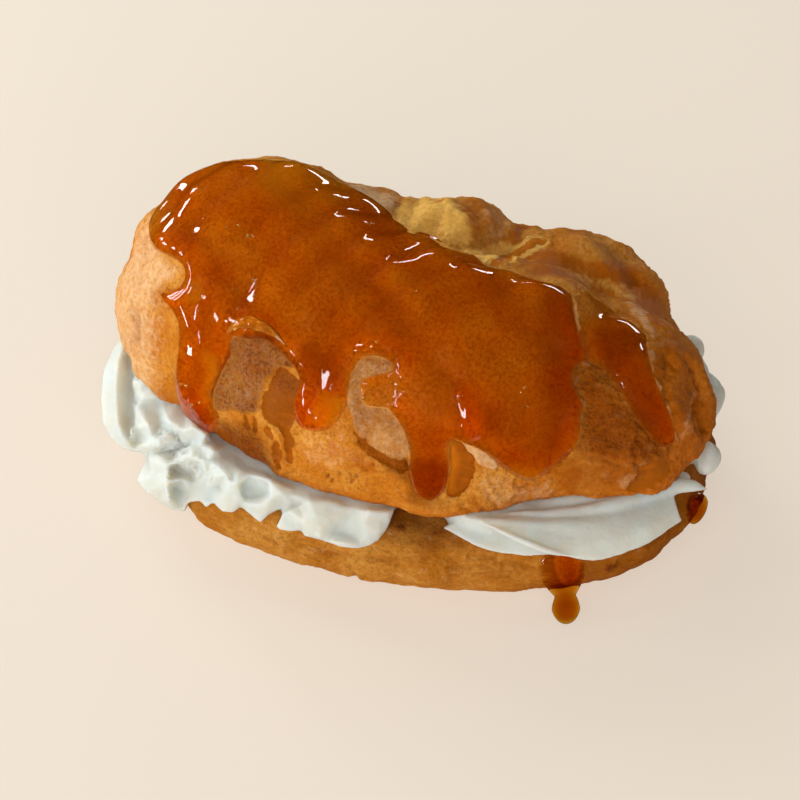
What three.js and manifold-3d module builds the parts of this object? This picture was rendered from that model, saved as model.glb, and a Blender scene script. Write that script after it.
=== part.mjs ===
// Oblong split choux bun: a base, a layer of piped cream and a lobed lid under a poured caramel coat.
// Millimetres, +Z up, X along the bun. The base rests on Z = 0, and the origin is on its foot, mid-length.
import * as THREE from "three";
import { mergeVertices } from "three/addons/utils/BufferGeometryUtils.js";
import Module from "manifold-3d";

const wasm = await Module();
wasm.setup();

// Clearance between neighbouring pieces.
const FIT_GAP = 0.3;

// Base: the lower half of the bun, an oval cake with a flat foot, a bulging wall and a flat cut top.
// Shares are parts of the outline's size, and the rear left corner swells out under the lid.
const BASE_CENTRE_X = 3;
const BASE_HALF_LENGTH = 58;
const BASE_HALF_WIDTH = 37;
const BASE_TURN = 4;
const BASE_SQUARENESS = 2.4;
const BASE_HEIGHT = 17.5;
const BASE_FOOT_SHARE = 0.78;
const BASE_RIM_SHARE = 0.9;
const BASE_BULGE = 0.15;
const BASE_CORNER = { angle: 2.55, spread: 0.45, share: 0.09 };
const BASE_COLUMNS = 64;
const BASE_ROWS = { top: 2, wall: 8, foot: 2 };

// Lid: a union of rounded lobes, cut flat underneath.
const LID_CUT_HEIGHT = 21;
const LID_HALF_LENGTH = 60;
const LID_HALF_WIDTH = 38;
const LID_COLUMNS = 84;
const LID_ROWS = { dome: 19, underside: 1 };
const LID_RAY_CENTRE = [4, 4, -8];
const LOBE_BLEND = 5;
const LOBES = [
  { part: "left hump", centre: [-32, 9, 25], radii: [31, 28, 36] },
  { part: "left filler", centre: [-16, 1, 24], radii: [28, 28, 34] },
  { part: "middle", centre: [3, -4, 24], radii: [36, 28, 34] },
  { part: "right hump", centre: [24, 3, 24], radii: [18, 22, 30] },
  { part: "right toe", centre: [41, 4, 23], radii: [19, 23, 22] },
  { part: "rear left", centre: [-17, 27, 26], radii: [16, 16, 20] },
  { part: "rear middle", centre: [3, 27, 25], radii: [20, 17, 22] },
  { part: "rear right", centre: [26, 25, 24], radii: [22, 18, 21] },
];

// Hollows in the lid's crust: strokes between two points on it, with a half width and a depth.
const HOLLOWS = [
  { part: "front stretch mark", from: [-19, -24, 42], to: [-14, -27, 36], width: 3.5, depth: 1.6 },
  { part: "front crescent", from: [-1, -30, 34], to: [6, -31, 35], width: 3, depth: 1.4 },
  { part: "torn notch", from: [17, -28, 38], to: [18, -30, 31], width: 3.2, depth: 1.8 },
  { part: "end crack", from: [56, 6, 38], to: [59, 2, 28], width: 2.6, depth: 2 },
  { part: "rear fold", from: [10, 33, 42], to: [13, 22, 44], width: 3.5, depth: 2 },
];

// Caramel coat: a chain of tapering pours minus round bays, all given on the lid's surface.
const COAT_THICKNESS = 2.1;
const COAT_EDGE_WIDTH = 2.4;
const COAT_BLEND = 3;
const POURS = [
  { part: "left crest", from: [-39, 2, 56.5], to: [-16, 0, 58], radii: [16.5, 21] },
  { part: "middle crest", from: [-16, 0, 58], to: [12, -9, 55], radii: [21, 16] },
  { part: "right crest", from: [12, -9, 55], to: [27, -8, 50], radii: [16, 13.5] },
  { part: "left tongue", from: [-38, -13, 45], to: [-36.5, -20, 27], radii: [6.5, 3.6] },
  { part: "drop tongue", from: [-10, -20, 49], to: [-9.3, -26.5, 40.7], radii: [5.5, 5.2] },
  { part: "long tongue", from: [14, -23, 46], to: [13.3, -30.3, 30.5], radii: [8.5, 3.6] },
  { part: "broad tongue", from: [27, -16, 45], to: [29.6, -20.3, 35.7], radii: [9.5, 7.6] },
  { part: "toe streak start", from: [35, 8, 47], to: [44, 0.5, 44.5], radii: [6, 5.2] },
  { part: "toe streak end", from: [44, 0.5, 44.5], to: [51, -8.8, 36.3], radii: [5.2, 3.8] },
];
const BAYS = [
  { part: "left bite", centre: [-46.5, -6.5, 49], radius: 4.2 },
  { part: "left bay", centre: [-23.5, -24, 38.5], radius: 7.6 },
  { part: "middle bay", centre: [1.5, -26, 44.5], radius: 6.2 },
];

// Cream: a slab through the bun and ropes piped or smeared along its border.
// A rope has a path, its half width and its height share, and ridges that run along it.
const SLAB_SHARE = 0.88;
const SLAB_FRONT_RECESS = { angle: -1.5, spread: 0.4, share: 0.1 };
const CREAM_COLUMNS = 14;
const ROPES = [
  {
    part: "left border",
    path: [[-38, 22, 19], [-48, 12, 19], [-52, -1, 18.5], [-51, -13, 17], [-44, -21, 16.5], [-33, -26, 17]],
    radii: [6, 8.5, 9.5, 10.5, 10, 8],
    height: 1,
    ridges: 7,
    depth: 0.16,
  },
  {
    part: "left tail",
    path: [[-47, -23, 14.5], [-43.5, -28, 12.5], [-39.5, -30, 10.5], [-36, -31, 9]],
    radii: [6, 7, 5.5, 2.5],
    height: 0.9,
    ridges: 5,
    depth: 0.22,
  },
  {
    part: "front tuft",
    path: [[-36, -22, 18], [-31.5, -29, 15.5], [-28.5, -32.5, 12]],
    radii: [6.5, 5.5, 1.8],
    height: 0.9,
    ridges: 5,
    depth: 0.2,
  },
  {
    part: "middle tuft",
    path: [[-28, -25, 18.5], [-23.5, -31, 16.5], [-20.5, -34, 13]],
    radii: [6.5, 5.5, 1.8],
    height: 0.8,
    ridges: 5,
    depth: 0.2,
  },
  {
    part: "front scoop",
    path: [[-17, -34, 17], [-10, -32.5, 18], [-1.5, -31.5, 17.4], [5, -28.5, 19]],
    radii: [2.5, 5.5, 7, 3.5],
    height: 0.75,
    ridges: 3,
    depth: 0.08,
  },
  {
    part: "right fold",
    path: [[14, -28, 19.4], [26, -26.5, 18.4], [37.5, -22.5, 17.4], [48.5, -17, 17.4], [57, -9.5, 18.4]],
    radii: [2, 5, 7.5, 7.5, 4.5],
    height: 0.85,
    ridges: 2,
    depth: 0.1,
  },
  {
    part: "right lip",
    path: [[30, -22.5, 19.3], [45, -15, 19], [56, -8, 18.6], [62.5, -4.4, 17.6]],
    radii: [3, 4, 4, 1.2],
    height: 0.7,
    ridges: 2,
    depth: 0.1,
  },
  {
    part: "right border",
    path: [[53, -4, 19], [56, 3, 19.5], [54.5, 10, 19], [55, 17, 19.5], [50, 26, 20], [40, 31, 19]],
    radii: [5, 6.2, 5, 6.5, 6, 5],
    height: 1,
    ridges: 6,
    depth: 0.14,
  },
  {
    part: "rear border",
    path: [[44, 31, 19], [30, 37, 19.5], [14, 39, 19], [-4, 40, 19.5], [-22, 37, 19], [-42, 24, 19]],
    radii: [5, 6.2, 5.4, 6.4, 5.6, 6.4],
    height: 1,
    ridges: 6,
    depth: 0.14,
  },
];

// Caramel runs down the base's wall: a path with a half width at each point, flattened against the wall.
const RUN_COLUMNS = 14;
const RUNS = [
  {
    name: "caramel_run_front",
    path: [[39, -28.6, 15.5], [39.6, -29.9, 11.5], [40, -30.7, 7.6], [40.5, -31.3, 4.2], [41, -31.6, 0.4]],
    radii: [4.8, 4.4, 2.3, 3.3, 3.8],
    height: 0.75,
    facing: [0.35, -0.94, 0],
  },
  {
    name: "caramel_run_side",
    path: [[59.6, -5, 14.5], [60.6, -5.4, 11.5], [60.8, -5.6, 8.5]],
    radii: [2.4, 2.8, 2.2],
    height: 0.6,
    facing: [0.97, -0.25, 0],
  },
];

const COLOURS = {
  crust: { color: 0xc68d4a, roughness: 0.6 },
  baseCrust: { color: 0xb67a38, roughness: 0.6 },
  cream: { color: 0xf1eee3, roughness: 0.5 },
  caramel: { color: 0xa4550c, roughness: 0.08 },
};

const UP = new THREE.Vector3(0, 0, 1);

function vector(values) {
  return new THREE.Vector3(values[0], values[1], values[2]);
}

// Smooth minimum of two distances, rounding their join over the blend width.
function smoothMin(a, b, blend) {
  const overlap = Math.max(blend - Math.abs(a - b), 0) / blend;
  return Math.min(a, b) - (overlap * overlap * blend) / 4;
}

// Approximate signed distance from a point to an ellipsoid.
function lobeDistance(point, lobe) {
  const [rx, ry, rz] = lobe.radii;
  const x = (point.x - lobe.centre[0]) / rx;
  const y = (point.y - lobe.centre[1]) / ry;
  const z = (point.z - lobe.centre[2]) / rz;
  const reach = Math.hypot(x, y, z);
  const slope = Math.hypot(x / rx, y / ry, z / rz);
  return slope > 0 ? (reach * (reach - 1)) / slope : -Math.min(rx, ry, rz);
}

// Nearest point of a stroke: its share along the stroke and its distance.
function strokeDistance(point, from, to) {
  const start = vector(from);
  const span = vector(to).sub(start);
  const offset = point.clone().sub(start);
  const share = THREE.MathUtils.clamp(offset.dot(span) / span.lengthSq(), 0, 1);
  return { share, distance: offset.addScaledVector(span, -share).length() };
}

// Slow unevenness of baked dough, about a millimetre either way.
function doughSwell(point) {
  const { x, y, z } = point;
  const broad = Math.sin(x * 0.21 + 1.3) * Math.sin(y * 0.26 + 0.4) * Math.sin(z * 0.24 + 2.1);
  const fine = Math.sin(x * 0.52 + z * 0.2) * Math.sin(y * 0.47 - x * 0.11 + 0.8);
  return 0.9 * broad + 0.45 * fine;
}

// Signed distance to the lid before it is cut flat underneath.
function lidDistance(point) {
  let distance = LOBES.map((lobe) => lobeDistance(point, lobe)).reduce((a, b) => smoothMin(a, b, LOBE_BLEND));
  for (const hollow of HOLLOWS) {
    const away = strokeDistance(point, hollow.from, hollow.to).distance / hollow.width;
    distance += hollow.depth * Math.exp(-away * away);
  }
  return distance - doughSwell(point);
}

// Distance inside the coat's outline, negative outside it.
function coatDepth(point) {
  let outside = Infinity;
  for (const pour of POURS) {
    const { share, distance } = strokeDistance(point, pour.from, pour.to);
    const radius = THREE.MathUtils.lerp(pour.radii[0], pour.radii[1], share);
    outside = smoothMin(outside, distance - radius, COAT_BLEND);
  }
  let inside = -outside;
  for (const bay of BAYS) {
    inside = smoothMin(inside, point.distanceTo(vector(bay.centre)) - bay.radius, COAT_BLEND);
  }
  return inside;
}

// Length of the ray from a start point to where a star-shaped field turns positive.
function rayLength(field, start, direction) {
  let inside = 0;
  let outside = 110;
  for (let step = 0; step < 36; step += 1) {
    const middle = (inside + outside) / 2;
    if (field(start.clone().addScaledVector(direction, middle)) < 0) {
      inside = middle;
    } else {
      outside = middle;
    }
  }
  return inside;
}

// Closed mesh on a sphere's grid: place(u, row) is the point a share u round Z, in a row from the top.
function wrapSphere(columns, rows, place) {
  const geometry = new THREE.SphereGeometry(1, columns, rows);
  const position = geometry.getAttribute("position");
  for (let row = 0; row <= rows; row += 1) {
    for (let column = 0; column <= columns; column += 1) {
      const point = place((column % columns) / columns, row);
      position.setXYZ(row * (columns + 1) + column, point.x, point.y, point.z);
    }
  }
  geometry.deleteAttribute("normal");
  geometry.deleteAttribute("uv");
  return mergeVertices(geometry, 1e-4);
}

function toSolid(geometry) {
  const mesh = new wasm.Mesh({
    numProp: 3,
    vertProperties: geometry.getAttribute("position").array,
    triVerts: new Uint32Array(geometry.index.array),
  });
  return new wasm.Manifold(mesh);
}

function toGeometry(solid) {
  const mesh = solid.getMesh();
  const geometry = new THREE.BufferGeometry();
  geometry.setAttribute("position", new THREE.BufferAttribute(mesh.vertProperties, 3));
  geometry.setIndex(new THREE.BufferAttribute(mesh.triVerts, 1));
  return geometry;
}

// The largest of a solid's separate bodies.
function mainBody(solid) {
  return solid.decompose().reduce((best, body) => (body.volume() > best.volume() ? body : best));
}

// Outward unit normal of the lid's field at a point.
function lidNormal(point) {
  const step = 0.2;
  const rise = (axis) => {
    const ahead = lidDistance(point.clone().addScaledVector(axis, step));
    return ahead - lidDistance(point.clone().addScaledVector(axis, -step));
  };
  return vector([rise(vector([1, 0, 0])), rise(vector([0, 1, 0])), rise(UP)]).normalize();
}

// Lid surface, moved out by swell(point) millimetres along its normals.
function makeLid(swell) {
  const cutHeight = LID_CUT_HEIGHT - swell(new THREE.Vector3(0, 0, LID_CUT_HEIGHT));
  const rows = LID_ROWS.dome + LID_ROWS.underside;
  return wrapSphere(LID_COLUMNS, rows, (u, row) => {
    const angle = 2 * Math.PI * u;
    const plan = vector([LID_HALF_LENGTH * Math.cos(angle), LID_HALF_WIDTH * Math.sin(angle), 0]).normalize();
    const rayCentre = vector(LID_RAY_CENTRE);
    const cutCentre = rayCentre.clone().setZ(LID_CUT_HEIGHT);
    if (row === rows) return cutCentre.setZ(cutHeight);
    const rimTilt = Math.atan2(LID_CUT_HEIGHT - rayCentre.z, rayLength(lidDistance, cutCentre, plan));
    const tilt = THREE.MathUtils.lerp(Math.PI / 2, rimTilt, Math.min(row / LID_ROWS.dome, 1));
    const direction = plan.multiplyScalar(Math.cos(tilt)).setZ(Math.sin(tilt));
    const point = rayCentre.addScaledVector(direction, rayLength(lidDistance, rayCentre, direction));
    point.addScaledVector(lidNormal(point), swell(point));
    if (row === LID_ROWS.dome) point.z = cutHeight;
    return point;
  });
}

// Base outline at an angle round it.
function baseOutline(angle) {
  const power = 2 / BASE_SQUARENESS;
  const cos = Math.cos(angle);
  const sin = Math.sin(angle);
  const x = BASE_HALF_LENGTH * Math.sign(cos) * Math.abs(cos) ** power;
  const y = BASE_HALF_WIDTH * Math.sign(sin) * Math.abs(sin) ** power;
  const fromCorner = (Math.atan2(sin, cos) - BASE_CORNER.angle) / BASE_CORNER.spread;
  const corner = BASE_CORNER.share * Math.exp(-fromCorner * fromCorner);
  const wave = 1 + corner + 0.01 * Math.sin(3 * angle + 0.7) + 0.008 * Math.sin(7 * angle);
  const turn = THREE.MathUtils.degToRad(BASE_TURN);
  return vector([x * wave, y * wave, 0]).applyAxisAngle(UP, turn);
}

// Base surface, moved out all round by swell millimetres.
function makeBase(swell) {
  const rows = BASE_ROWS.top + BASE_ROWS.wall + BASE_ROWS.foot;
  return wrapSphere(BASE_COLUMNS, rows, (u, row) => {
    const outline = baseOutline(2 * Math.PI * u);
    const outward = outline.clone().normalize();
    const drop = THREE.MathUtils.clamp((row - BASE_ROWS.top) / BASE_ROWS.wall, 0, 1);
    const flat = Math.min(row / BASE_ROWS.top, (rows - row) / BASE_ROWS.foot, 1);
    const bulge = BASE_BULGE * Math.sin(Math.PI * drop);
    const share = THREE.MathUtils.lerp(BASE_RIM_SHARE, BASE_FOOT_SHARE, drop) + bulge;
    const point = outline.multiplyScalar(share).setZ(THREE.MathUtils.lerp(BASE_HEIGHT, 0, drop));
    point.addScaledVector(outward, 0.8 * doughSwell(point) + swell).multiply(vector([flat, flat, 1]));
    point.x += BASE_CENTRE_X;
    point.z += THREE.MathUtils.lerp(swell, -swell, drop);
    return point;
  });
}

// Value at a share along a list of evenly spread values.
function alongList(values, share) {
  const place = share * (values.length - 1);
  const before = Math.min(Math.floor(place), values.length - 2);
  return THREE.MathUtils.lerp(values[before], values[before + 1], place - before);
}

// A rope with round ends: ridges run along it, and its height is measured along the facing direction.
function makeRope(rope, columns, swell) {
  const curve = new THREE.CatmullRomCurve3(rope.path.map(vector));
  const rows = 3 * rope.path.length;
  const facing = rope.facing ? vector(rope.facing) : UP;
  return wrapSphere(columns, rows, (u, row) => {
    const share = row / rows;
    const along = curve.getTangent(share);
    const side = along.clone().cross(facing).normalize();
    const top = side.clone().cross(along);
    const around = 2 * Math.PI * u;
    const ridge = rope.ridges ? 1 - rope.depth * (1 - Math.abs(Math.sin((rope.ridges * around) / 2))) : 1;
    const width = (alongList(rope.radii, share) * ridge + swell) * Math.sin(Math.PI * share) ** 0.4;
    const point = curve.getPoint(share).addScaledVector(side, width * Math.cos(around));
    return point.addScaledVector(top, width * rope.height * Math.sin(around));
  });
}

// A flat oval slab of cream between the base and the lid.
function makeSlab() {
  const heights = [LID_CUT_HEIGHT, LID_CUT_HEIGHT, BASE_HEIGHT, BASE_HEIGHT];
  return wrapSphere(BASE_COLUMNS, 3, (u, row) => {
    const outline = baseOutline(2 * Math.PI * u);
    const fromFront = (Math.atan2(outline.y, outline.x) - SLAB_FRONT_RECESS.angle) / SLAB_FRONT_RECESS.spread;
    const edge = SLAB_SHARE - SLAB_FRONT_RECESS.share * Math.exp(-fromFront * fromFront);
    const point = outline.multiplyScalar(row === 1 || row === 2 ? edge : 0).setZ(heights[row]);
    point.x += BASE_CENTRE_X;
    return point;
  });
}

const group = new THREE.Group();

function addPiece(name, geometry, finish) {
  const material = new THREE.MeshStandardMaterial({ ...finish, metalness: 0 });
  const mesh = new THREE.Mesh(geometry, material);
  mesh.name = name;
  group.add(mesh);
}

const lidClearance = toSolid(makeLid(() => FIT_GAP));
const baseClearance = toSolid(makeBase(FIT_GAP));
addPiece("base", makeBase(0), COLOURS.baseCrust);
addPiece("lid", makeLid(() => 0), COLOURS.crust);

const coat = makeLid((point) => COAT_THICKNESS * Math.tanh(coatDepth(point) / COAT_EDGE_WIDTH));
addPiece("caramel_coat", toGeometry(mainBody(toSolid(coat).subtract(lidClearance))), COLOURS.caramel);

const ropes = ROPES.map((rope) => toSolid(makeRope(rope, CREAM_COLUMNS, 0)));
const filling = ropes.reduce((a, b) => a.add(b), toSolid(makeSlab()));
const cream = mainBody(filling.subtract(lidClearance).subtract(baseClearance));
addPiece("cream", toGeometry(cream), COLOURS.cream);

const ropeClearances = ROPES.map((rope) => toSolid(makeRope(rope, CREAM_COLUMNS, FIT_GAP)));
for (const run of RUNS) {
  const drops = ropeClearances.reduce((a, b) => a.subtract(b), toSolid(makeRope(run, RUN_COLUMNS, 0)));
  addPiece(run.name, toGeometry(mainBody(drops.subtract(baseClearance))), COLOURS.caramel);
}

export default group;
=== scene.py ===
"""Looks of an oblong choux bun with piped cream and poured caramel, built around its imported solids.

Sizes are millimetres until a mesh is made, in the frame of the solids: X along the bun, -Y to the
side with the caramel tongues, Z up. Picture places are points of an 800 x 800 picture.
"""
import logging
import math
from collections.abc import Callable
from dataclasses import dataclass, field
from enum import Enum

import bpy
import numpy as np
from mathutils import Matrix, Vector
from mathutils.geometry import delaunay_2d_cdt


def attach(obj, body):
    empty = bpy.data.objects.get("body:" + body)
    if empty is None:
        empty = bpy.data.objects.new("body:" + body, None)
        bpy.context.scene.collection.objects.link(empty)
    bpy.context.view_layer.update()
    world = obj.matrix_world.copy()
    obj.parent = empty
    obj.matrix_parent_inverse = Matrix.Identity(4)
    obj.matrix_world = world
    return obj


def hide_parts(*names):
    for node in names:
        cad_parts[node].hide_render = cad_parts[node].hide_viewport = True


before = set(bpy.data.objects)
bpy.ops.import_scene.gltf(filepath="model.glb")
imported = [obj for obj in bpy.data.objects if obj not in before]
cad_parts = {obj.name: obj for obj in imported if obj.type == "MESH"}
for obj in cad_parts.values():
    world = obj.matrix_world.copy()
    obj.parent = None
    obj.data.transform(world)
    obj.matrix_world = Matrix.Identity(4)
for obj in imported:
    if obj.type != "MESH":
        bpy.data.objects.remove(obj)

LOG = logging.getLogger("choux_bun")
MM = 0.001  # metres in a millimetre
FAR = 1e3  # further than anything on the bun
TINY = 1e-9  # keeps a division from failing
NEAR = 40.0  # picture points round an outline within which it is measured
CORNER_CUT = 0.25  # share of a side that each rounding takes off an outline's corner
CORNER_ROUNDS = 2
FRONT_LEAN = 0.3  # how much closer together a ring's points are at the front
BARE = -5.0  # distance inside an outline, where there is none
COOL = (0.94, 1.0, 0.98)  # window light
WARM = (1.0, 0.95, 0.87)  # light thrown back by the room

Array = np.ndarray
Point = tuple[float, float, float]
Spot = tuple[float, float]
Colour = tuple[float, float, float, float]
Body = tuple[Array, list]
Distance = Callable[[Array], Array]
Socket = bpy.types.NodeSocket


class Slot(Enum):
    """Material slots of the pieces."""

    LID = "lid_crust"
    BASE = "base_crust"
    CREAM = "cream"
    COAT = "caramel"
    RUN = "caramel_run"


def unit(vectors: Array) -> Array:
    """Scales vectors to length one."""
    return vectors / np.maximum(np.linalg.norm(vectors, axis=-1, keepdims=True), TINY)


def bell(values: Array) -> Array:
    """Bell curve that is 1 at 0."""
    return np.exp(-(values**2))


def step(values: Array, low: float, high: float) -> Array:
    """Rises smoothly from 0 at low to 1 at high.

    Args:
        values: Numbers to place between the two.
        low: Value that gives 0.
        high: Value that gives 1.

    Returns:
        Shares from 0 to 1.
    """
    t = np.clip((values - low) / (high - low), 0.0, 1.0)
    return t * t * (3.0 - 2.0 * t)


def rounded(rise: Array, radius: float) -> Array:
    """How far a rounded rim is drawn in at heights above its edge.

    Args:
        rise: Heights above the edge.
        radius: Radius of the rounding.

    Returns:
        Distances inward.
    """
    share = np.clip(rise / radius, 0.0, 1.0)
    return radius * (1 - np.sqrt(1 - (1 - share) ** 2))


def smooth_min(a: Array, b: Array, blend: float) -> Array:
    """Smaller of two distances, with their join rounded.

    Args:
        a: First distances.
        b: Second distances.
        blend: Width of the rounded join.

    Returns:
        The joined distances.
    """
    overlap = np.maximum(blend - np.abs(a - b), 0.0) / blend
    return np.minimum(a, b) - overlap * overlap * blend / 4.0


def stroke_distance(points: Array, start: Point | Spot, end: Point | Spot) -> tuple[Array, Array]:
    """Nearest place on a straight stroke.

    Args:
        points: Points to measure from.
        start: First end of the stroke.
        end: Second end of the stroke.

    Returns:
        The share along the stroke and the distance from it.
    """
    a = np.array(start, float)
    span = np.array(end, float) - a
    share = np.clip((points - a) @ span / (span @ span), 0.0, 1.0)
    return share, np.linalg.norm(points - a - share[..., None] * span, axis=-1)


def along(values: tuple[float, ...], share: Array) -> Array:
    """Values at shares along an evenly spread list."""
    return np.interp(share, np.linspace(0.0, 1.0, len(values)), values)


def spline(path: tuple[Point, ...], shares: Array) -> Array:
    """Points on a smooth curve through a path.

    Args:
        path: Points that the curve goes through.
        shares: Places along it, from 0 to 1.

    Returns:
        One point for each share.
    """
    pts = np.array(path, float)
    pts = np.vstack([2 * pts[0] - pts[1], pts, 2 * pts[-1] - pts[-2]])
    place = np.clip(shares, 0.0, 1.0) * (len(path) - 1)
    i = np.minimum(place.astype(int), len(path) - 2)
    t = (place - i)[:, None]
    a, b, c, d = pts[i], pts[i + 1], pts[i + 2], pts[i + 3]
    bend = (2 * a - 5 * b + 4 * c - d) * t * t + (3 * b - a - 3 * c + d) * t**3
    return 0.5 * (2 * b + (c - a) * t + bend)


def turns(columns: int, lean: float = 0.0) -> Array:
    """Angles round a ring, drawn together towards the front by the lean."""
    turn = 2 * math.pi * np.arange(columns) / columns
    return turn - lean * np.cos(turn)


class Grain:
    """Seeded gradient noise in space."""

    cells_kept = 256
    gain = 1.6
    octave_shift = 17.3
    draw_shift = 7

    def __init__(self, seed: int) -> None:
        """Draws the lattice.

        Args:
            seed: Seed of the draw.
        """
        draw = np.random.default_rng(seed)
        self.order = draw.permutation(self.cells_kept)
        self.slopes = unit(draw.normal(size=(self.cells_kept, 3)))
        self.spots = draw.random((self.cells_kept, 3))

    def _hash(self, cell: Array) -> Array:
        """Index of each lattice cell.

        Args:
            cell: Whole numbers of the cells along the axes.

        Returns:
            One index for each cell.
        """
        last = self.cells_kept - 1
        mixed = self.order[cell[..., 0] & last]
        mixed = self.order[(mixed + cell[..., 1]) & last]
        return self.order[(mixed + cell[..., 2]) & last]

    def wave(self, points: Array, size: float | Point) -> Array:
        """One octave of noise.

        Args:
            points: Points in millimetres.
            size: Size of a lump, or one along each axis.

        Returns:
            Values of about -1 to 1.
        """
        place = points / np.array(size, float)
        cell = np.floor(place).astype(int)
        rest = place - cell
        fade = rest**3 * (rest * (rest * 6 - 15) + 10)
        total = np.zeros(len(points))
        for corner in np.ndindex(2, 2, 2):
            shift = np.array(corner)
            slope = self.slopes[self._hash(cell + shift)]
            weight = np.prod(np.where(shift, fade, 1.0 - fade), axis=-1)
            total += weight * np.einsum("ij,ij->i", slope, rest - shift)
        return total * self.gain

    def rough(self, points: Array, size: float | Point, octaves: int) -> Array:
        """Several octaves of noise, each half the size and half the height of the last."""
        sizes = np.array(size, float)
        return np.sum([self.wave(points + self.octave_shift * k, sizes / 2**k) / 2**k
                       for k in range(octaves)], axis=0)

    def cells(self, points: Array, size: float) -> tuple[Array, Array]:
        """Nearest of a set of scattered spots, one in each cube of space.

        Args:
            points: Points in millimetres.
            size: Width of a cube.

        Returns:
            The distance to the spot in cube widths and a draw from 0 to 1 for it.
        """
        place = points / size
        cell = np.floor(place).astype(int)
        best = np.full(len(points), FAR)
        draw = np.zeros(len(points))
        for shift in np.ndindex(3, 3, 3):
            other = cell + np.array(shift) - 1
            key = self._hash(other)
            away = np.linalg.norm(other + self.spots[key] - place, axis=-1)
            nearer = away < best
            best = np.where(nearer, away, best)
            drawn = self.spots[(key + self.draw_shift) % self.cells_kept, 0]
            draw = np.where(nearer, drawn, draw)
        return best, draw


@dataclass(frozen=True)
class Swell:
    """A layer of unevenness: its height, the size of its lumps and its octaves."""

    height: float
    size: float | Point
    octaves: int

    def at(self, grain: Grain, points: Array, shift: float = 0.0) -> Array:
        """Heights of the layer at points."""
        return self.height * grain.rough(points + shift, self.size, self.octaves)


@dataclass(frozen=True)
class Shot:
    """The camera, and where its picture meets the bun."""

    azimuth: float = 16.0
    elevation: float = 45.0
    distance: float = 520.0
    target: Point = (-1.5, -0.5, 20.0)
    focal: float = 2600.0
    size: int = 800
    sensor: float = 36.0
    clip_start: float = 0.01

    def axes(self) -> tuple[Array, Array, Array]:
        """Right, up and backward directions of the camera.

        Returns:
            Three unit vectors.
        """
        a, e = math.radians(self.azimuth), math.radians(self.elevation)
        back = np.array([math.sin(a) * math.cos(e), -math.cos(a) * math.cos(e), math.sin(e)])
        right = np.array([math.cos(a), math.sin(a), 0.0])
        return right, np.cross(back, right), back

    @property
    def back(self) -> Array:
        """Direction from the bun to the camera."""
        return self.axes()[2]

    def project(self, points: Array) -> Array:
        """Picture places of points in space.

        Args:
            points: Points in space.

        Returns:
            A column and a row for each.
        """
        right, up, back = self.axes()
        away = points - np.array(self.target)
        depth = self.distance - away @ back
        flat = np.stack([away @ right, -(away @ up)], -1)
        return self.size / 2 + self.focal * flat / depth[..., None]

    def span(self, pixels: Array) -> Array:
        """Millimetres that a number of picture points covers at the bun."""
        return pixels / self.focal * self.distance

    def at_height(self, spot: Spot, height: float) -> Point:
        """Point in space seen at a picture place, at a height above the floor.

        Args:
            spot: Picture column and row.
            height: Height above the floor.

        Returns:
            The point.
        """
        right, up, back = self.axes()
        eye = np.array(self.target) + back * self.distance
        shift = (np.array(spot) - self.size / 2) / self.focal
        ray = right * shift[0] - up * shift[1] - back
        return tuple(eye + ray * (height - eye[2]) / ray[2])

    def place(self) -> None:
        """Makes the camera and hands it to the scene."""
        right, up, back = self.axes()
        data = bpy.data.cameras.new("camera")
        data.sensor_width = self.sensor
        data.lens = self.focal * self.sensor / self.size
        data.clip_start = self.clip_start
        camera = bpy.data.objects.new("camera", data)
        turn = Matrix([(*row,) for row in np.stack([right, up, back], 1)])
        spot = Vector((np.array(self.target) + back * self.distance) * MM)
        camera.matrix_world = Matrix.Translation(spot) @ turn.to_4x4()
        bpy.context.scene.collection.objects.link(camera)
        bpy.context.scene.camera = camera


SHOT = Shot()


def seen_at(*places: Point) -> tuple[Point, ...]:
    """Points in space for picture columns, picture rows and heights above the floor."""
    return tuple(SHOT.at_height(place[:2], place[2]) for place in places)


def make_object(name: str, points: Array, faces: list,
                marks: dict[str, Array] | None = None) -> bpy.types.Object:
    """Makes a smooth-shaded mesh object.

    Args:
        name: Name of the object.
        points: Vertices in millimetres.
        faces: Vertex numbers of each face.
        marks: Named values at each vertex, for the material to read.

    Returns:
        The new object.
    """
    mesh = bpy.data.meshes.new(name)
    mesh.from_pydata((points * MM).tolist(), [], faces)
    mesh.polygons.foreach_set("use_smooth", np.ones(len(mesh.polygons), bool))
    for mark, values in (marks or {}).items():
        layer = mesh.attributes.new(mark, "FLOAT", "POINT")
        layer.data.foreach_set("value", np.ascontiguousarray(values, np.float32))
    mesh.update()
    made = bpy.data.objects.new(name, mesh)
    bpy.context.scene.collection.objects.link(made)
    return made


def hand_in(piece: bpy.types.Object, slot: Slot, material: bpy.types.Material,
            *nodes: str) -> None:
    """Dresses a piece and ties it to the solids that it stands for.

    Args:
        piece: The finished piece.
        slot: Not used.
        material: Its finish.
        *nodes: Solids that it replaces.
    """
    piece.data.materials.clear()
    piece.data.materials.append(material)
    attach(piece, "root")
    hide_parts(*nodes)
    LOG.info("%s: %d faces", piece.name, len(piece.data.polygons))


def wrap_faces(columns: int, rows: int) -> list:
    """Faces of a closed grid: a top point, rings of columns, and a bottom point.

    Args:
        columns: Points in a ring.
        rows: Number of rings.

    Returns:
        Vertex numbers of each face.
    """
    ring = np.arange(columns)
    after = (ring + 1) % columns
    last = 1 + columns * rows
    faces = [[0, 1 + a, 1 + b] for a, b in zip(ring, after)]
    for row in range(rows - 1):
        upper = 1 + row * columns
        lower = upper + columns
        faces += np.stack([upper + ring, lower + ring, lower + after, upper + after], 1).tolist()
    foot = last - columns
    faces += [[last, foot + b, foot + a] for a, b in zip(ring, after)]
    return faces


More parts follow.
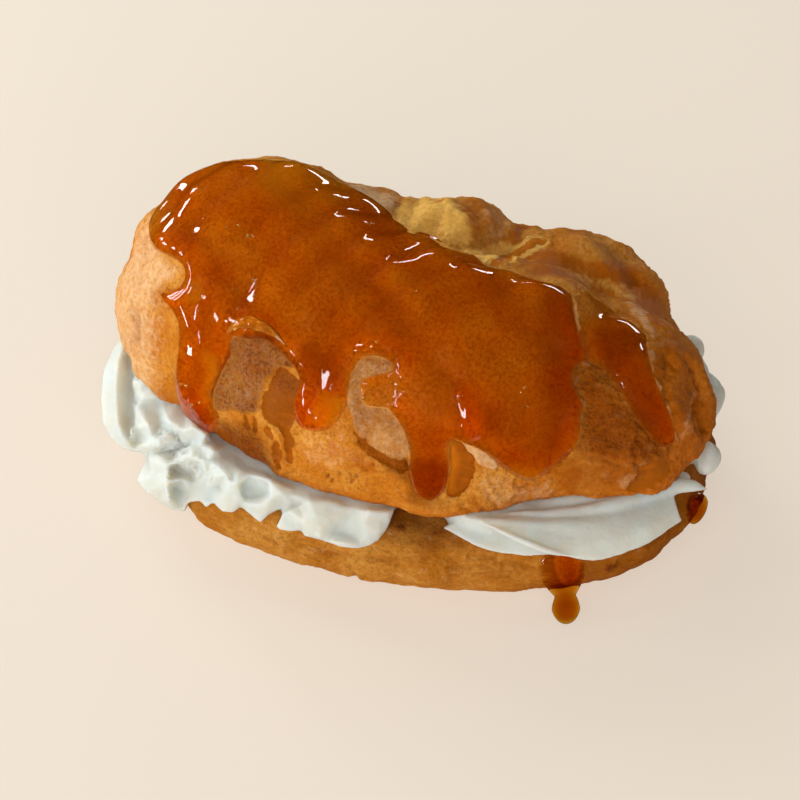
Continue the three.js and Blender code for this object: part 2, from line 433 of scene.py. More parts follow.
def ray_length(distance: Distance, start: Array, rays: Array, reach: float = 110.0,
               halvings: int = 26) -> Array:
    """Length of rays from inside a form to its surface.

    Args:
        distance: Function that gives signed distances, negative inside.
        start: Start of every ray, or one for each.
        rays: Unit directions.
        reach: Longest ray.
        halvings: Times that the span of a ray is halved to find its end.

    Returns:
        The lengths.
    """
    low = np.zeros(len(rays))
    high = np.full(len(rays), reach)
    for _ in range(halvings):
        middle = (low + high) / 2
        inside = distance(start + rays * middle[:, None]) < 0
        low = np.where(inside, middle, low)
        high = np.where(inside, high, middle)
    return low


def slopes(distance: Distance, points: Array, reach: float = 0.2) -> Array:
    """Unit normals of a distance field at points."""
    shifts = np.eye(3) * reach
    return unit(np.stack([distance(points + s) - distance(points - s) for s in shifts], -1))


def dough_swell(points: Array) -> Array:
    """Slow unevenness of baked dough, as in the solids.

    Args:
        points: Points in space.

    Returns:
        One height for each point.
    """
    x, y, z = points.T
    broad = np.sin(x * 0.21 + 1.3) * np.sin(y * 0.26 + 0.4) * np.sin(z * 0.24 + 2.1)
    fine = np.sin(x * 0.52 + z * 0.2) * np.sin(y * 0.47 - x * 0.11 + 0.8)
    return 0.9 * broad + 0.45 * fine


def near_to(seen: Array, outline: Array) -> Array:
    """Numbers of the picture places that are near an outline."""
    close = (seen > outline.min(0) - NEAR) & (seen < outline.max(0) + NEAR)
    return np.flatnonzero(close.all(1))


@dataclass(frozen=True)
class Patch:
    """A stretch of surface outlined in the picture, with its corners rounded."""

    corners: tuple[Spot, ...]
    depth: float = 0.0
    share: float = 1.0
    soft: float = 1.2

    def outline(self) -> Array:
        """The corners, rounded.

        Returns:
            The outline's picture places.
        """
        a = np.array(self.corners, float)
        keep = 1 - CORNER_CUT
        for _ in range(CORNER_ROUNDS):
            b = np.roll(a, -1, axis=0)
            a = np.stack([keep * a + CORNER_CUT * b, CORNER_CUT * a + keep * b], 1).reshape(-1, 2)
        return a

    def inside(self, seen: Array) -> Array:
        """Distance inside the outline in millimetres, negative outside and very far if not near.

        Args:
            seen: Picture places.

        Returns:
            One distance for each place.
        """
        ring = self.outline()
        near = near_to(seen, ring)
        spots = seen[near]
        best = np.full(len(near), FAR)
        within = np.zeros(len(near), bool)
        for p, q in zip(ring, np.roll(ring, -1, axis=0)):
            best = np.minimum(best, stroke_distance(spots, p, q)[1])
            run, rise = q - p
            rise = rise if abs(rise) > TINY else TINY
            crosses = (p[1] > spots[:, 1]) != (q[1] > spots[:, 1])
            within ^= crosses & (spots[:, 0] < p[0] + (spots[:, 1] - p[1]) * run / rise)
        found = np.full(len(seen), -FAR)
        found[near] = SHOT.span(np.where(within, best, -best))
        return found

    def cover(self, seen: Array) -> Array:
        """Share of cover at picture places, fading over the soft border."""
        return self.share * step(self.inside(seen), -self.soft, self.soft)


def most_cover(patches: tuple[Patch, ...], seen: Array) -> Array:
    """Largest share of cover by any of several patches."""
    return np.max([patch.cover(seen) for patch in patches], axis=0)


@dataclass(frozen=True)
class Crease:
    """A crack or fold in the crust along a line in the picture."""

    line: tuple[Spot, ...]
    width: float = 0.9
    depth: float = 0.8
    lip: float = 0.35

    def distance(self, seen: Array) -> Array:
        """Distance from the line in millimetres, very far where not near it.

        Args:
            seen: Picture places.

        Returns:
            One distance for each place.
        """
        near = near_to(seen, np.array(self.line, float))
        strokes = zip(self.line, self.line[1:])
        found = np.full(len(seen), FAR)
        found[near] = SHOT.span(np.min([stroke_distance(seen[near], *ends)[1] for ends in strokes],
                                       axis=0))
        return found

    def groove(self, seen: Array) -> Array:
        """Share of the crease's depth at picture places."""
        return bell(self.distance(seen) / self.width)

    def relief(self, seen: Array) -> Array:
        """Heights of the groove and of the lip raised beside it."""
        away = self.distance(seen) / self.width
        return self.lip * bell(away - 2) - self.depth * bell(away)


class Tree:
    """A material's node tree, built from the surface shader back."""

    def __init__(self, name: str) -> None:
        """Starts a material with an empty surface shader.

        Args:
            name: Name of the material.
        """
        self.material = bpy.data.materials.new(name)
        self.material.use_nodes = True
        self.nodes = self.material.node_tree.nodes
        self.links = self.material.node_tree.links
        self.shader = self.nodes["Principled BSDF"]
        self.output = self.nodes["Material Output"]
        self.place = self.add("ShaderNodeTexCoord").outputs["Object"]

    def add(self, kind: str, **sockets: object) -> bpy.types.Node:
        """Adds a node and sets or links its inputs.

        Args:
            kind: Node type.
            **sockets: Input values or sockets, with _ for a space in the name.

        Returns:
            The node.
        """
        node = self.nodes.new(kind)
        for name, value in sockets.items():
            self.put(node.inputs[name.replace("_", " ")], value)
        return node

    def put(self, socket: Socket, value: object) -> None:
        """Sets a socket to a value, or links an output to it."""
        if isinstance(value, bpy.types.NodeSocket):
            self.links.new(value, socket)
        else:
            socket.default_value = value

    def mark(self, name: str) -> Socket:
        """Value of a named mark on the mesh."""
        node = self.nodes.new("ShaderNodeAttribute")
        node.attribute_name = name
        return node.outputs["Fac"]

    def sum(self, kind: str, *values: Socket | float) -> Socket:
        """Result of a sum on values or sockets.

        Args:
            kind: Operation of the math node.
            *values: What it works on.

        Returns:
            The result.
        """
        node = self.nodes.new("ShaderNodeMath")
        node.operation = kind
        for socket, value in zip(node.inputs, values):
            self.put(socket, value)
        return node.outputs[0]

    def scale(self, value: Socket, factor: float, offset: float = 0.0) -> Socket:
        """A value times a factor, plus an offset."""
        return self.sum("MULTIPLY_ADD", value, factor, offset)

    def plus(self, *values: Socket) -> Socket:
        """Two values added."""
        return self.sum("ADD", *values)

    def times(self, *values: Socket) -> Socket:
        """Two values multiplied."""
        return self.sum("MULTIPLY", *values)

    def most(self, *values: Socket) -> Socket:
        """Larger of two values."""
        return self.sum("MAXIMUM", *values)

    def rest(self, share: Socket) -> Socket:
        """What a share leaves of one."""
        return self.sum("SUBTRACT", 1.0, share)

    def noise(self, size: float, detail: float = 3.0, roughness: float = 0.55,
              stretch: Point | None = None) -> Socket:
        """Noise of a given lump size in millimetres.

        Args:
            size: Size of a lump.
            detail: Octaves.
            roughness: Share that each octave keeps.
            stretch: Factors by which lumps are longer along the axes.

        Returns:
            Values around one half.
        """
        place = self.place
        if stretch:
            node = self.add("ShaderNodeMapping", Vector=place, Scale=tuple(1 / s for s in stretch))
            place = node.outputs[0]
        node = self.add("ShaderNodeTexNoise", Vector=place, Scale=1 / (size * MM),
                        Detail=detail, Roughness=roughness)
        return node.outputs["Fac"]

    def rise(self, value: Socket, low: float, high: float) -> Socket:
        """Smooth rise from 0 at low to 1 at high.

        Args:
            value: Value to place between the two.
            low: Value that gives 0.
            high: Value that gives 1.

        Returns:
            A share from 0 to 1.
        """
        node = self.nodes.new("ShaderNodeMapRange")
        node.interpolation_type = "SMOOTHSTEP"
        self.put(node.inputs["Value"], value)
        node.inputs["From Min"].default_value = low
        node.inputs["From Max"].default_value = high
        return node.outputs["Result"]

    def blend(self, share: Socket, a: Socket | Colour, b: Socket | Colour) -> Socket:
        """Colour between two colours.

        Args:
            share: Share of the second colour.
            a: First colour or socket.
            b: Second colour or socket.

        Returns:
            The mixed colour.
        """
        node = self.nodes.new("ShaderNodeMix")
        node.data_type = "RGBA"
        colour = [s for s in node.inputs if s.type == "RGBA"]
        self.put(node.inputs[0], share)
        self.put(colour[0], a)
        self.put(colour[1], b)
        return next(s for s in node.outputs if s.type == "RGBA")

    def bump(self, height: Socket, depth: float) -> None:
        """Gives the surface fine relief, from heights of 0 to 1 and a depth in millimetres."""
        node = self.add("ShaderNodeBump", Height=height, Strength=1.0, Distance=depth * MM)
        self.put(self.shader.inputs["Normal"], node.outputs[0])

    def set(self, **sockets: object) -> None:
        """Sets or links inputs of the surface shader."""
        for name, value in sockets.items():
            self.put(self.shader.inputs[name.replace("_", " ")], value)


def tone(red: int, green: int, blue: int) -> Colour:
    """Linear colour of a display colour given from 0 to 255."""
    parts = [c / 255 for c in (red, green, blue)]
    linear = [c / 12.92 if c <= 0.04045 else ((c + 0.055) / 1.055) ** 2.4 for c in parts]
    return (*linear, 1.0)


@dataclass(frozen=True)
class CrustFinish:
    """Baked choux crust: pale flour-dry skin over darker amber dough, with brown creases that are
    painted shade, and painted light and shade beneath the caramel.
    """

    name: str
    pale: Colour = tone(226, 181, 134)
    skin: Colour = tone(216, 146, 56)
    tan: Colour = tone(198, 118, 27)
    toasted: Colour = tone(178, 92, 10)
    amber: Colour = tone(156, 82, 6)
    brown: Colour = tone(104, 46, 6)
    soaked: Colour = tone(250, 184, 90)
    speckled: Colour = tone(228, 148, 60)
    # Painted light: a pale glow painted on the crust beneath the caramel, as if light shone through
    # it.
    lit: Colour = tone(255, 232, 150)
    # Painted shade: a darker tone painted on the crust beneath the caramel.
    steeped: Colour = tone(176, 92, 28)
    # Painted light: the glow painted on the dough where the lit mark is set.
    glow: Colour = tone(222, 128, 18)
    # Golden skin colour, partly a painted glow of light shining through from behind.
    golden: Colour = tone(255, 196, 96)
    roughness: float = 0.66
    gloss: float = 0.08
    relief: float = 0.36

    def dough(self, tree: Tree) -> Socket:
        """Colour of the stretched dough that shows between torn skin, with a painted glow where light
        would shine through it.
        """
        fibre = tree.noise(2.2, 3.0, 0.6, (3.0, 3.0, 0.6))
        amber = tree.blend(tree.rise(fibre, 0.42, 0.8), self.amber, self.toasted)
        # Painted glow on the dough where the lit mark is set.
        return tree.blend(tree.mark("lit"), amber, self.glow)

    def under_caramel(self, tree: Tree, grain: Socket, patchy: Socket) -> Socket:
        """Colour of the crust beneath the caramel, with painted light and painted shade on it.

        Args:
            tree: Tree of the material.
            grain: Fine noise.
            patchy: Broad noise.

        Returns:
            The colour.
        """
        mottle = tree.plus(tree.scale(grain, 0.65), tree.scale(patchy, 0.35))
        soaked = tree.blend(tree.rise(mottle, 0.34, 0.62), self.speckled, self.soaked)
        # Painted light on the crust beneath the caramel where the lit mark is set.
        soaked = tree.blend(tree.mark("lit"), soaked, self.lit)
        # Painted shade on the crust beneath the caramel where the steeped mark is set.
        return tree.blend(tree.mark("steeped"), soaked, self.steeped)

    def make(self) -> bpy.types.Material:
        """Builds the material.

        Returns:
            The material. It reads the marks stretch, pale, amber, gilt, brown, coat, lit and steeped;
            lit is painted light, steeped painted shade, amber and brown are partly painted shade, and
            gilt partly a painted glow.
        """
        tree = Tree(self.name)
        patchy = tree.noise(9.0, 4.0)
        fine = tree.noise(1.3, 4.0, 0.6)
        grain = tree.noise(0.6, 3.0, 0.65)
        leather = tree.noise(0.9, 4.0, 0.7)
        powder = tree.noise(2.4, 4.0, 0.7)
        # The brown mark is burnt skin together with painted shade in creases, pits and shaded places.
        burn_and_shade = tree.mark("brown")
        uneven = tree.scale(fine, 0.9, -0.45)
        toast, pale, gilt, window = (
            tree.rise(tree.plus(tree.mark(mark), uneven), low, high)
            for mark, low, high in (("amber", 0.1, 0.9), ("pale", 0.2, 0.9),
                                    ("gilt", 0.15, 0.85), ("stretch", -0.12, 0.12)))
        clear = tree.most(window, tree.scale(tree.most(toast, gilt), 0.6))
        floury = tree.scale(pale, -0.85, 1.0)
        gritty = tree.times(burn_and_shade, tree.scale(grain, 2.2, -1.1))
        dark = tree.plus(tree.plus(burn_and_shade, gritty), tree.scale(patchy, 0.6, -0.3))
        pores = tree.rise(grain, 0.34, 0.46)
        open_pores = tree.times(tree.rest(pores), tree.scale(burn_and_shade, 0.6, 0.08))
        filled = tree.rest(tree.times(open_pores, floury))
        dull = tree.times(tree.rise(leather, 0.46, 0.64), tree.scale(clear, -0.4, 0.5))
        dry = tree.times(tree.rise(powder, 0.56, 0.74), tree.scale(clear, -0.25, 0.25))
        colour = tree.blend(tree.rise(patchy, 0.36, 0.64), self.skin, self.tan)
        for share, paint in ((toast, self.toasted), (pale, self.pale), (gilt, self.golden),
                             (window, self.dough(tree)), (tree.rise(dark, 0.05, 1.0), self.brown),
                             (tree.rest(tree.most(clear, filled)), self.brown),
                             (tree.times(dull, floury), self.toasted), (dry, self.pale),
                             (tree.rise(tree.mark("coat"), -0.4, 0.4),
                              self.under_caramel(tree, grain, patchy))):
            colour = tree.blend(share, colour, paint)
        tree.set(Base_Color=colour, Roughness=tree.scale(clear, -0.28, self.roughness),
                 Specular_IOR_Level=self.gloss, Subsurface_Weight=0.08,
                 Subsurface_Radius=(1.0, 0.45, 0.15), Subsurface_Scale=0.0015)
        grit = tree.plus(tree.plus(fine, tree.scale(pores, 0.3)), tree.scale(leather, -0.8))
        plain = tree.times(tree.scale(clear, -0.8, 1.0), tree.scale(pale, -0.4, 1.0))
        tree.bump(tree.times(grit, plain), self.relief)
        return tree.material


@dataclass(frozen=True)
class CaramelFinish:
    """Clear hard caramel: glossy, and deeper orange the thicker it is."""

    name: str
    kept: Colour = (0.965, 0.77, 0.04, 1.0)
    density: float = 950.0
    bend: float = 1.47
    gloss: float = 0.0
    face: Colour = (1.0, 0.93, 0.8, 1.0)
    ripple: float = 0.06

    def make(self) -> bpy.types.Material:
        """Builds the material.

        Returns:
            The material.
        """
        tree = Tree(self.name)
        tree.set(Base_Color=self.face, Roughness=0.04, IOR=self.bend, Transmission_Weight=1.0,
                 Coat_Weight=self.gloss, Coat_Roughness=0.03)
        tree.bump(tree.noise(3.5, 2.0), self.ripple)
        inside = tree.add("ShaderNodeVolumeAbsorption", Color=self.kept, Density=self.density)
        tree.links.new(inside.outputs[0], tree.output.inputs["Volume"])
        return tree.material


@dataclass(frozen=True)
class CreamFinish:
    """Whipped cream: a soft white that light sinks into."""

    name: str
    white: Colour = tone(209, 216, 213)
    shade: Colour = tone(208, 209, 202)
    foam: float = 0.12

    def make(self) -> bpy.types.Material:
        """Builds the material.

        Returns:
            The material.
        """
        tree = Tree(self.name)
        soft = tree.noise(6.0, 3.0)
        foam = tree.noise(0.8, 4.0, 0.65)
        tree.set(Base_Color=tree.blend(tree.rise(soft, 0.35, 0.65), self.white, self.shade),
                 Roughness=tree.scale(foam, 0.2, 0.35), Subsurface_Weight=0.75,
                 Subsurface_Radius=(1.0, 0.8, 0.55), Subsurface_Scale=0.006)
        tree.bump(foam, self.foam)
        return tree.material


# Outlines that two kinds of mark share.
# The first bay: pale skin in the flakes and painted shade in the scorches.
FIRST_BAY: tuple[Spot, ...] = (
    (234, 322), (264, 322), (288, 342), (304, 366), (290, 367), (276, 369), (269, 376), (264, 386),
    (261, 398), (260, 411), (250, 414), (238, 412), (226, 411), (202, 410), (202, 390), (210, 374),
    (218, 358), (224, 340))
# Painted glow: the golden smear on the rear lobe, painted lit as if light shone through it.
REAR_PAINTED_GLOW: tuple[Spot, ...] = (
    (486, 266), (500, 255), (520, 247), (536, 238), (550, 237), (548, 244), (532, 248), (516, 258),
    (500, 266))


@dataclass
class Lid:
    """Lobed choux lid with stretch marks, creases and flakes.

    Windows are stretch marks, flakes pale raised skin, gilts golden skin whose gold is partly a
    painted glow from behind, toasts and scorches browner skin that is partly painted shade, lights
    painted light and darks painted shade on the crust beneath the caramel, and creases and pits are
    browned with painted shade.
    """

    cut_height: float = 21.0
    plan: Spot = (60.0, 38.0)
    columns: int = 800
    rows: int = 225
    ray_centre: Point = (4.0, 4.0, -8.0)
    blend: float = 5.0
    rim_round: float = 2.6
    grazing: Spot = (0.03, 0.24)
    wander: tuple[Swell, ...] = (Swell(3.0, 3.5, 2), Swell(1.8, 1.1, 1))
    wander_shifts: Spot = (0.0, 50.0)
    coat_fade: Spot = (-2.0, 0.5)
    bake: Swell = Swell(0.32, 7.0, 3)
    wrinkle: Swell = Swell(1.0, (3.0, 3.0, 2.0), 2)
    wrinkle_height: float = 0.22
    pimples: Swell = Swell(0.09, 1.8, 2)
    rough_end: Spot = (25.0, 45.0)
    toast_calm: float = 0.7
    pore_spacing: float = 2.1
    pore_depth: float = 0.16
    pore_share: float = 0.45
    pore_rim: Spot = (0.12, 0.3)
    pore_field: Swell = Swell(1.0, 14.0, 1)
    pore_field_rim: Spot = (-0.1, 0.4)
    flake_rim: Spot = (-0.2, 0.4)
    window_calm: float = 0.7
    window_calm_rim: Spot = (-0.2, 0.5)
    window_rim: Spot = (-0.3, 0.7)
    window_lip: Point = (0.2, -0.7, 0.6)
    # Painted shade: brown painted into the grooves of the creases.
    crease_shade: float = 0.35
    pit_width: float = 0.75
    pit_depth: float = 0.7
    # Painted shade: brown painted into the pits.
    pit_shade: float = 0.7
    # Paler left end: pale skin, partly painted light on the side the light comes from.
    pale_and_lit_end: float = 0.62
    pale_and_lit_end_x: Spot = (40.0, 52.0)
    pale_and_lit_end_y: Spot = (-16.0, 0.0)
    front_toast: float = 0.45
    front_toast_x: Spot = (20.0, 60.0)
    front_toast_y: Spot = (-40.0, 20.0)
    end_toast: float = 0.35
    end_toast_x: Spot = (10.0, 40.0)
    # Painted shade: darker amber painted towards the lid's cut rim.
    rim_shade: float = 0.7
    rim_shade_height: float = 7.0
    lobes: tuple[tuple[Point, Point], ...] = (
        ((-32, 9, 25), (31, 28, 36)),
        ((-16, 1, 24), (28, 28, 34)),
        ((3, -4, 24), (36, 28, 34)),
        ((24, 3, 24), (18, 22, 30)),
        ((41, 4, 23), (19, 23, 22)),
        ((-17, 27, 26), (16, 16, 20)),
        ((3, 27, 25), (20, 17, 22)),
        ((26, 25, 24), (22, 18, 21)),
    )
    hollows: tuple[tuple, ...] = (
        ((-19, -24, 42), (-14, -27, 36), 3.5, 1.6),
        ((-1, -30, 34), (6, -31, 35), 3.0, 1.4),
        ((17, -28, 38), (18, -30, 31), 3.2, 1.8),
        ((56, 6, 38), (59, 2, 28), 2.6, 2.0),
        ((10, 33, 42), (13, 22, 44), 3.5, 2.0),
    )
    windows: tuple[Patch, ...] = (
        Patch(((280, 367), (289, 371), (300, 378), (307, 385), (299, 394), (296, 404), (297, 416),
            (295, 426), (291, 433), (284, 431), (276, 426), (263, 420), (262, 408), (263, 396),
            (266, 386), (272, 376)), 0.6),
        Patch(((283, 430), (291, 429), (294, 440), (292, 452), (293, 464), (288, 463), (284, 447)),
            0.4),
        Patch(((264, 424), (273, 429), (273, 441), (267, 438)), 0.35),
        Patch(((273, 440), (279, 440), (283, 469), (276, 470)), 0.3),
        Patch(((243, 415), (248, 415), (249, 430), (244, 431)), 0.5),
        Patch(((251, 416), (256, 418), (257, 435), (252, 434)), 0.5),
        Patch(((352, 431), (359, 437), (366, 440), (374, 446), (382, 454), (392, 458), (403, 459),
            (409, 468), (404, 475), (396, 469), (384, 465), (374, 459), (366, 451), (357, 443)),
            0.8),
        Patch(((452, 437), (460, 440), (466, 448), (473, 456), (474, 462), (470, 464), (474, 470),
            (472, 480), (467, 488), (460, 496), (453, 499), (446, 498), (447, 488), (450, 476),
            (449, 464), (448, 452)), 0.6),
        Patch(((640, 466), (655, 460), (668, 457), (676, 462), (672, 474), (660, 484), (645, 492),
            (630, 494), (627, 486), (634, 476)), 0.4),
        Patch(REAR_PAINTED_GLOW, 0.0),
    )
    flakes: tuple[Patch, ...] = (
        Patch(((124, 270), (132, 254), (146, 244), (156, 258), (170, 262), (182, 268), (178, 276),
            (168, 284), (158, 292), (146, 296), (134, 302), (120, 304)), 0.2, 0.65, 1.8),
        Patch(FIRST_BAY, 0.3, 0.4, 0.6),
        Patch(((360, 396), (380, 394), (400, 402), (416, 428), (420, 448), (410, 460), (388, 457),
            (374, 447), (360, 437), (352, 428), (350, 410)), 0.3, 0.5, 0.8),
        Patch(((346, 388), (352, 370), (358, 356), (371, 350), (388, 352), (400, 364), (390, 376),
            (376, 380), (368, 386), (366, 398), (364, 412), (349, 412)), 0.1, 0.5, 1.0),
        Patch(((570, 297), (575, 297), (580, 320), (585, 342), (596, 360), (590, 363), (580, 346),
            (574, 322)), 0.0, 0.6, 0.4),
        Patch(((459, 438), (472, 440), (483, 446), (491, 453), (501, 464), (496, 468), (486, 469),
            (477, 467), (474, 458), (468, 449)), 0.5, 0.7, 0.5),
        Patch(((449, 436), (453, 434), (457, 448), (454, 454), (450, 448)), 0.4, 0.8, 0.4),
        Patch(((300, 424), (316, 434), (334, 432), (346, 424), (352, 440), (366, 460), (350, 470),
            (324, 474), (302, 470), (298, 446)), 0.1, 0.36, 2.2),
        Patch(((480, 470), (500, 470), (518, 482), (534, 482), (552, 470), (558, 490), (552, 506),
            (520, 508), (500, 512), (480, 505), (476, 486)), 0.1, 0.42, 2.2),
        Patch(((652, 454), (640, 461), (630, 470), (618, 480), (616, 488), (626, 494), (630, 485),
            (638, 475), (648, 465)), 0.2, 0.45, 0.8),
        Patch(((335, 172), (352, 176), (372, 185), (392, 193), (402, 200), (394, 214), (380, 214),
            (366, 202), (346, 188)), 0.0, 0.8, 2.0),
        Patch(((478, 210), (490, 204), (506, 210), (514, 222), (508, 240), (500, 252), (488, 250),
            (482, 236)), 0.15, 0.4, 1.5),
        Patch(((520, 224), (536, 218), (558, 224), (582, 231), (604, 242), (608, 250), (590, 260),
            (572, 256), (560, 244), (540, 236)), 0.2, 0.25, 1.5),
        Patch(((620, 298), (636, 303), (650, 316), (660, 334), (655, 344), (645, 331), (636, 319),
            (626, 309)), 0.15, 0.55, 0.8),
        Patch(((598, 235), (622, 242), (642, 262), (658, 290), (666, 312), (652, 306), (636, 284),
            (616, 264)), 0.0, 0.2, 1.5),
        Patch(((691, 384), (698, 392), (694, 410), (692, 424), (686, 438), (677, 446), (680, 432),
            (686, 414), (690, 398)), 0.0, 0.5, 1.2),
        Patch(((648, 348), (653, 350), (655, 372), (664, 396), (674, 420), (678, 440), (674, 442),
            (666, 418), (656, 394), (650, 372)), 0.2, 0.5, 0.5),
        Patch(((583, 352), (592, 354), (596, 362), (590, 366), (584, 362)), 0.2, 0.7, 0.6),
        Patch(((572, 392), (578, 396), (586, 404), (584, 409), (577, 402)), 0.2, 0.7, 0.5),
    )
    # Golden skin, its gold partly a painted glow of light shining through from behind.
    gilts: tuple[Patch, ...] = (
        Patch(((384, 228), (396, 204), (426, 196), (452, 194), (466, 208), (472, 234), (468, 252),
            (424, 242)), 0.0, 0.85, 2.0),
        Patch(((436, 250), (470, 250), (495, 246), (520, 240), (545, 235), (554, 243), (530, 257),
            (500, 266), (468, 264)), 0.0, 1.0, 1.2),
        Patch(((560, 268), (590, 275), (620, 280), (642, 296), (636, 304), (610, 292), (580, 288)),
            0.0, 0.5, 2.0),
    )
    # Browner toasted skin; in the first bay and along the lower left rim this browning is painted
    # shade.
    toasts_and_shades: tuple[Patch, ...] = (
        Patch(((212, 426), (226, 430), (244, 440), (262, 452), (270, 466), (264, 478), (244, 470),
            (226, 456), (212, 442)), 0.0, 1.0, 1.5),
        Patch(((558, 470), (570, 464), (585, 468), (583, 486), (572, 498), (560, 494)), 0.25, 0.8,
            1.0),
        Patch(((350, 446), (362, 450), (376, 462), (380, 474), (364, 474), (352, 462)), 0.0, 0.7,
            1.2),
        Patch(((516, 268), (530, 252), (548, 246), (566, 252), (592, 262), (622, 258), (645, 272),
            (664, 300), (668, 336), (648, 322), (620, 298), (590, 296), (560, 278)), 0.0, 0.95,
            2.5),
        Patch(((578, 366), (610, 382), (640, 428), (660, 452), (620, 470), (580, 458), (584, 420)),
            0.0, 0.85, 2.5),
        Patch(((650, 338), (676, 340), (700, 362), (716, 400), (706, 440), (680, 450), (668, 400)),
            0.0, 0.7, 2.5),
        Patch(((460, 194), (476, 198), (486, 212), (482, 236), (474, 246), (468, 238), (466, 214)),
            0.0, 0.6, 1.6),
        Patch(((508, 210), (526, 214), (530, 224), (518, 240), (508, 252), (512, 232)), 0.0, 0.8,
            1.2),
        Patch(((326, 444), (332, 440), (338, 452), (332, 462)), 0.0, 0.7, 0.8),
        Patch(((356, 450), (368, 452), (372, 464), (362, 466)), 0.0, 0.6, 0.8),
        Patch(((245, 338), (262, 338), (276, 350), (284, 362), (276, 369), (269, 376), (264, 386),
            (261, 398), (260, 411), (240, 412), (238, 380), (234, 362)), 0.0, 0.55, 1.5),
    )
    creases: tuple[Crease, ...] = (
        Crease(((404, 462), (409, 474), (415, 488)), 1.1, 1.0, 0.2),
        Crease(((515, 479), (517, 487), (522, 489), (527, 485)), 0.4, 0.5, 0.15),
        Crease(((546, 469), (560, 462), (580, 458), (602, 459), (622, 466)), 0.5, 0.35, 0.2),
        Crease(((668, 356), (671, 370), (665, 384), (664, 398)), 0.9, 0.5, 0.25),
        Crease(((688, 360), (697, 373), (702, 386), (702, 396), (696, 406), (695, 416), (700, 429)),
            0.8, 1.1, 0.3),
        Crease(((640, 438), (634, 450), (638, 466)), 0.5, 0.5, 0.25),
        Crease(((133, 312), (138, 324), (136, 338)), 0.7, 0.3, 0.15),
        Crease(((460, 500), (470, 515)), 0.5, 0.22, 0.12),
        Crease(((472, 492), (484, 513)), 0.5, 0.22, 0.12),
        Crease(((483, 484), (498, 510)), 0.5, 0.22, 0.12),
        Crease(((400, 204), (394, 218), (396, 236)), 1.1, 0.45, 0.2),
        Crease(((416, 202), (406, 222), (410, 240)), 0.9, 0.35, 0.2),
        Crease(((440, 206), (434, 226), (440, 246)), 1.2, 0.3, 0.15),
        Crease(((456, 194), (468, 206), (480, 216)), 1.2, 0.7, 0.25),
        Crease(((512, 210), (528, 222), (518, 240), (506, 254)), 1.2, 0.7, 0.25),
        Crease(((596, 236), (606, 247), (622, 262), (634, 282)), 1.4, 0.5, 0.2),
    )
    pits: tuple[Point, ...] = (
        (326, 478, 0.5), (332, 481, 0.4), (339, 477, 0.5), (349, 476, 0.7), (355, 478, 0.8),
        (351, 481, 0.5), (360, 488, 0.5), (373, 464, 0.4), (365, 470, 0.4), (359, 444, 0.5),
        (617, 443, 0.9), (611, 447, 0.6), (641, 441, 1.0), (638, 466, 0.9), (262, 374, 0.6),
        (270, 264, 0.4), (134, 256, 0.5))
    # Brown skin: burnt in places, and painted shade in the first bay, along the lower left rim, at
    # the right end and in the hollows between bays.
    scorches_and_shades: tuple[Patch, ...] = (
        Patch(FIRST_BAY, 0.0, 0.66, 0.8),
        Patch(((270, 370), (290, 370), (308, 384), (298, 398), (264, 398)), 0.0, 0.6, 2.5),
        Patch(((262, 384), (300, 378), (308, 386), (297, 420), (290, 434), (262, 420)), 0.0, 0.36,
            1.5),
        Patch(((212, 418), (236, 420), (258, 430), (276, 450), (282, 470), (270, 482), (244, 470),
            (222, 452)), 0.0, 0.66, 2.5),
        Patch(((660, 340), (690, 350), (716, 400), (704, 440), (684, 446), (672, 400)), 0.0, 0.3,
            3.0),
        Patch(((346, 352), (394, 350), (400, 368), (368, 386), (364, 410), (349, 410)), 0.0, 0.54,
            1.2),
        Patch(((360, 396), (380, 394), (400, 402), (416, 428), (420, 452), (420, 480), (396, 480),
            (374, 462), (356, 440), (350, 410)), 0.0, 0.46, 1.2),
        Patch(((558, 352), (604, 352), (634, 392), (664, 430), (680, 448), (656, 464), (620, 464),
            (580, 466), (560, 452), (562, 404)), 0.0, 0.66, 3.0),
        Patch(((560, 456), (620, 452), (652, 456), (640, 486), (600, 494), (562, 496)), 0.0, 0.44,
            3.0),
        Patch(((404, 486), (450, 496), (452, 512), (404, 508)), 0.0, 0.5, 1.5),
        Patch(((450, 470), (480, 470), (500, 486), (500, 508), (470, 512), (452, 500)), 0.0, 0.26,
            2.5),
        Patch(((516, 214), (560, 226), (560, 250), (530, 262), (512, 250)), 0.0, 0.26, 2.5),
        Patch(((640, 318), (664, 334), (674, 372), (668, 402), (656, 380), (650, 350)), 0.0, 0.45,
            2.0),
    )
    # Painted light: patches where the crust beneath the caramel is painted paler, as if light shone
    # through it.
    lights: tuple[Patch, ...] = (
        Patch(((446, 440), (453, 440), (457, 458), (456, 478), (450, 494), (444, 494)), 0.0, 0.7,
            0.9),
        Patch(((254, 158), (300, 156), (340, 172), (350, 196), (318, 210), (270, 206)), 0.0, 0.6,
            3.0),
        Patch(REAR_PAINTED_GLOW, 0.0, 1.0, 2.0),
        Patch(((206, 352), (218, 352), (222, 362), (216, 385), (211, 398), (204, 398), (206, 380)),
            0.0, 0.6),
        Patch(((316, 398), (330, 392), (342, 396), (341, 408), (331, 421), (318, 425), (312, 416))),
        Patch(((154, 205), (172, 194), (180, 208), (172, 232), (156, 238)), 0.0, 0.25),
        Patch(((505, 462), (530, 470), (545, 462), (532, 481), (515, 480)), 0.0, 0.6),
        Patch(((190, 286), (198, 276), (204, 290), (196, 304), (188, 300)), 0.0, 0.6),
    )
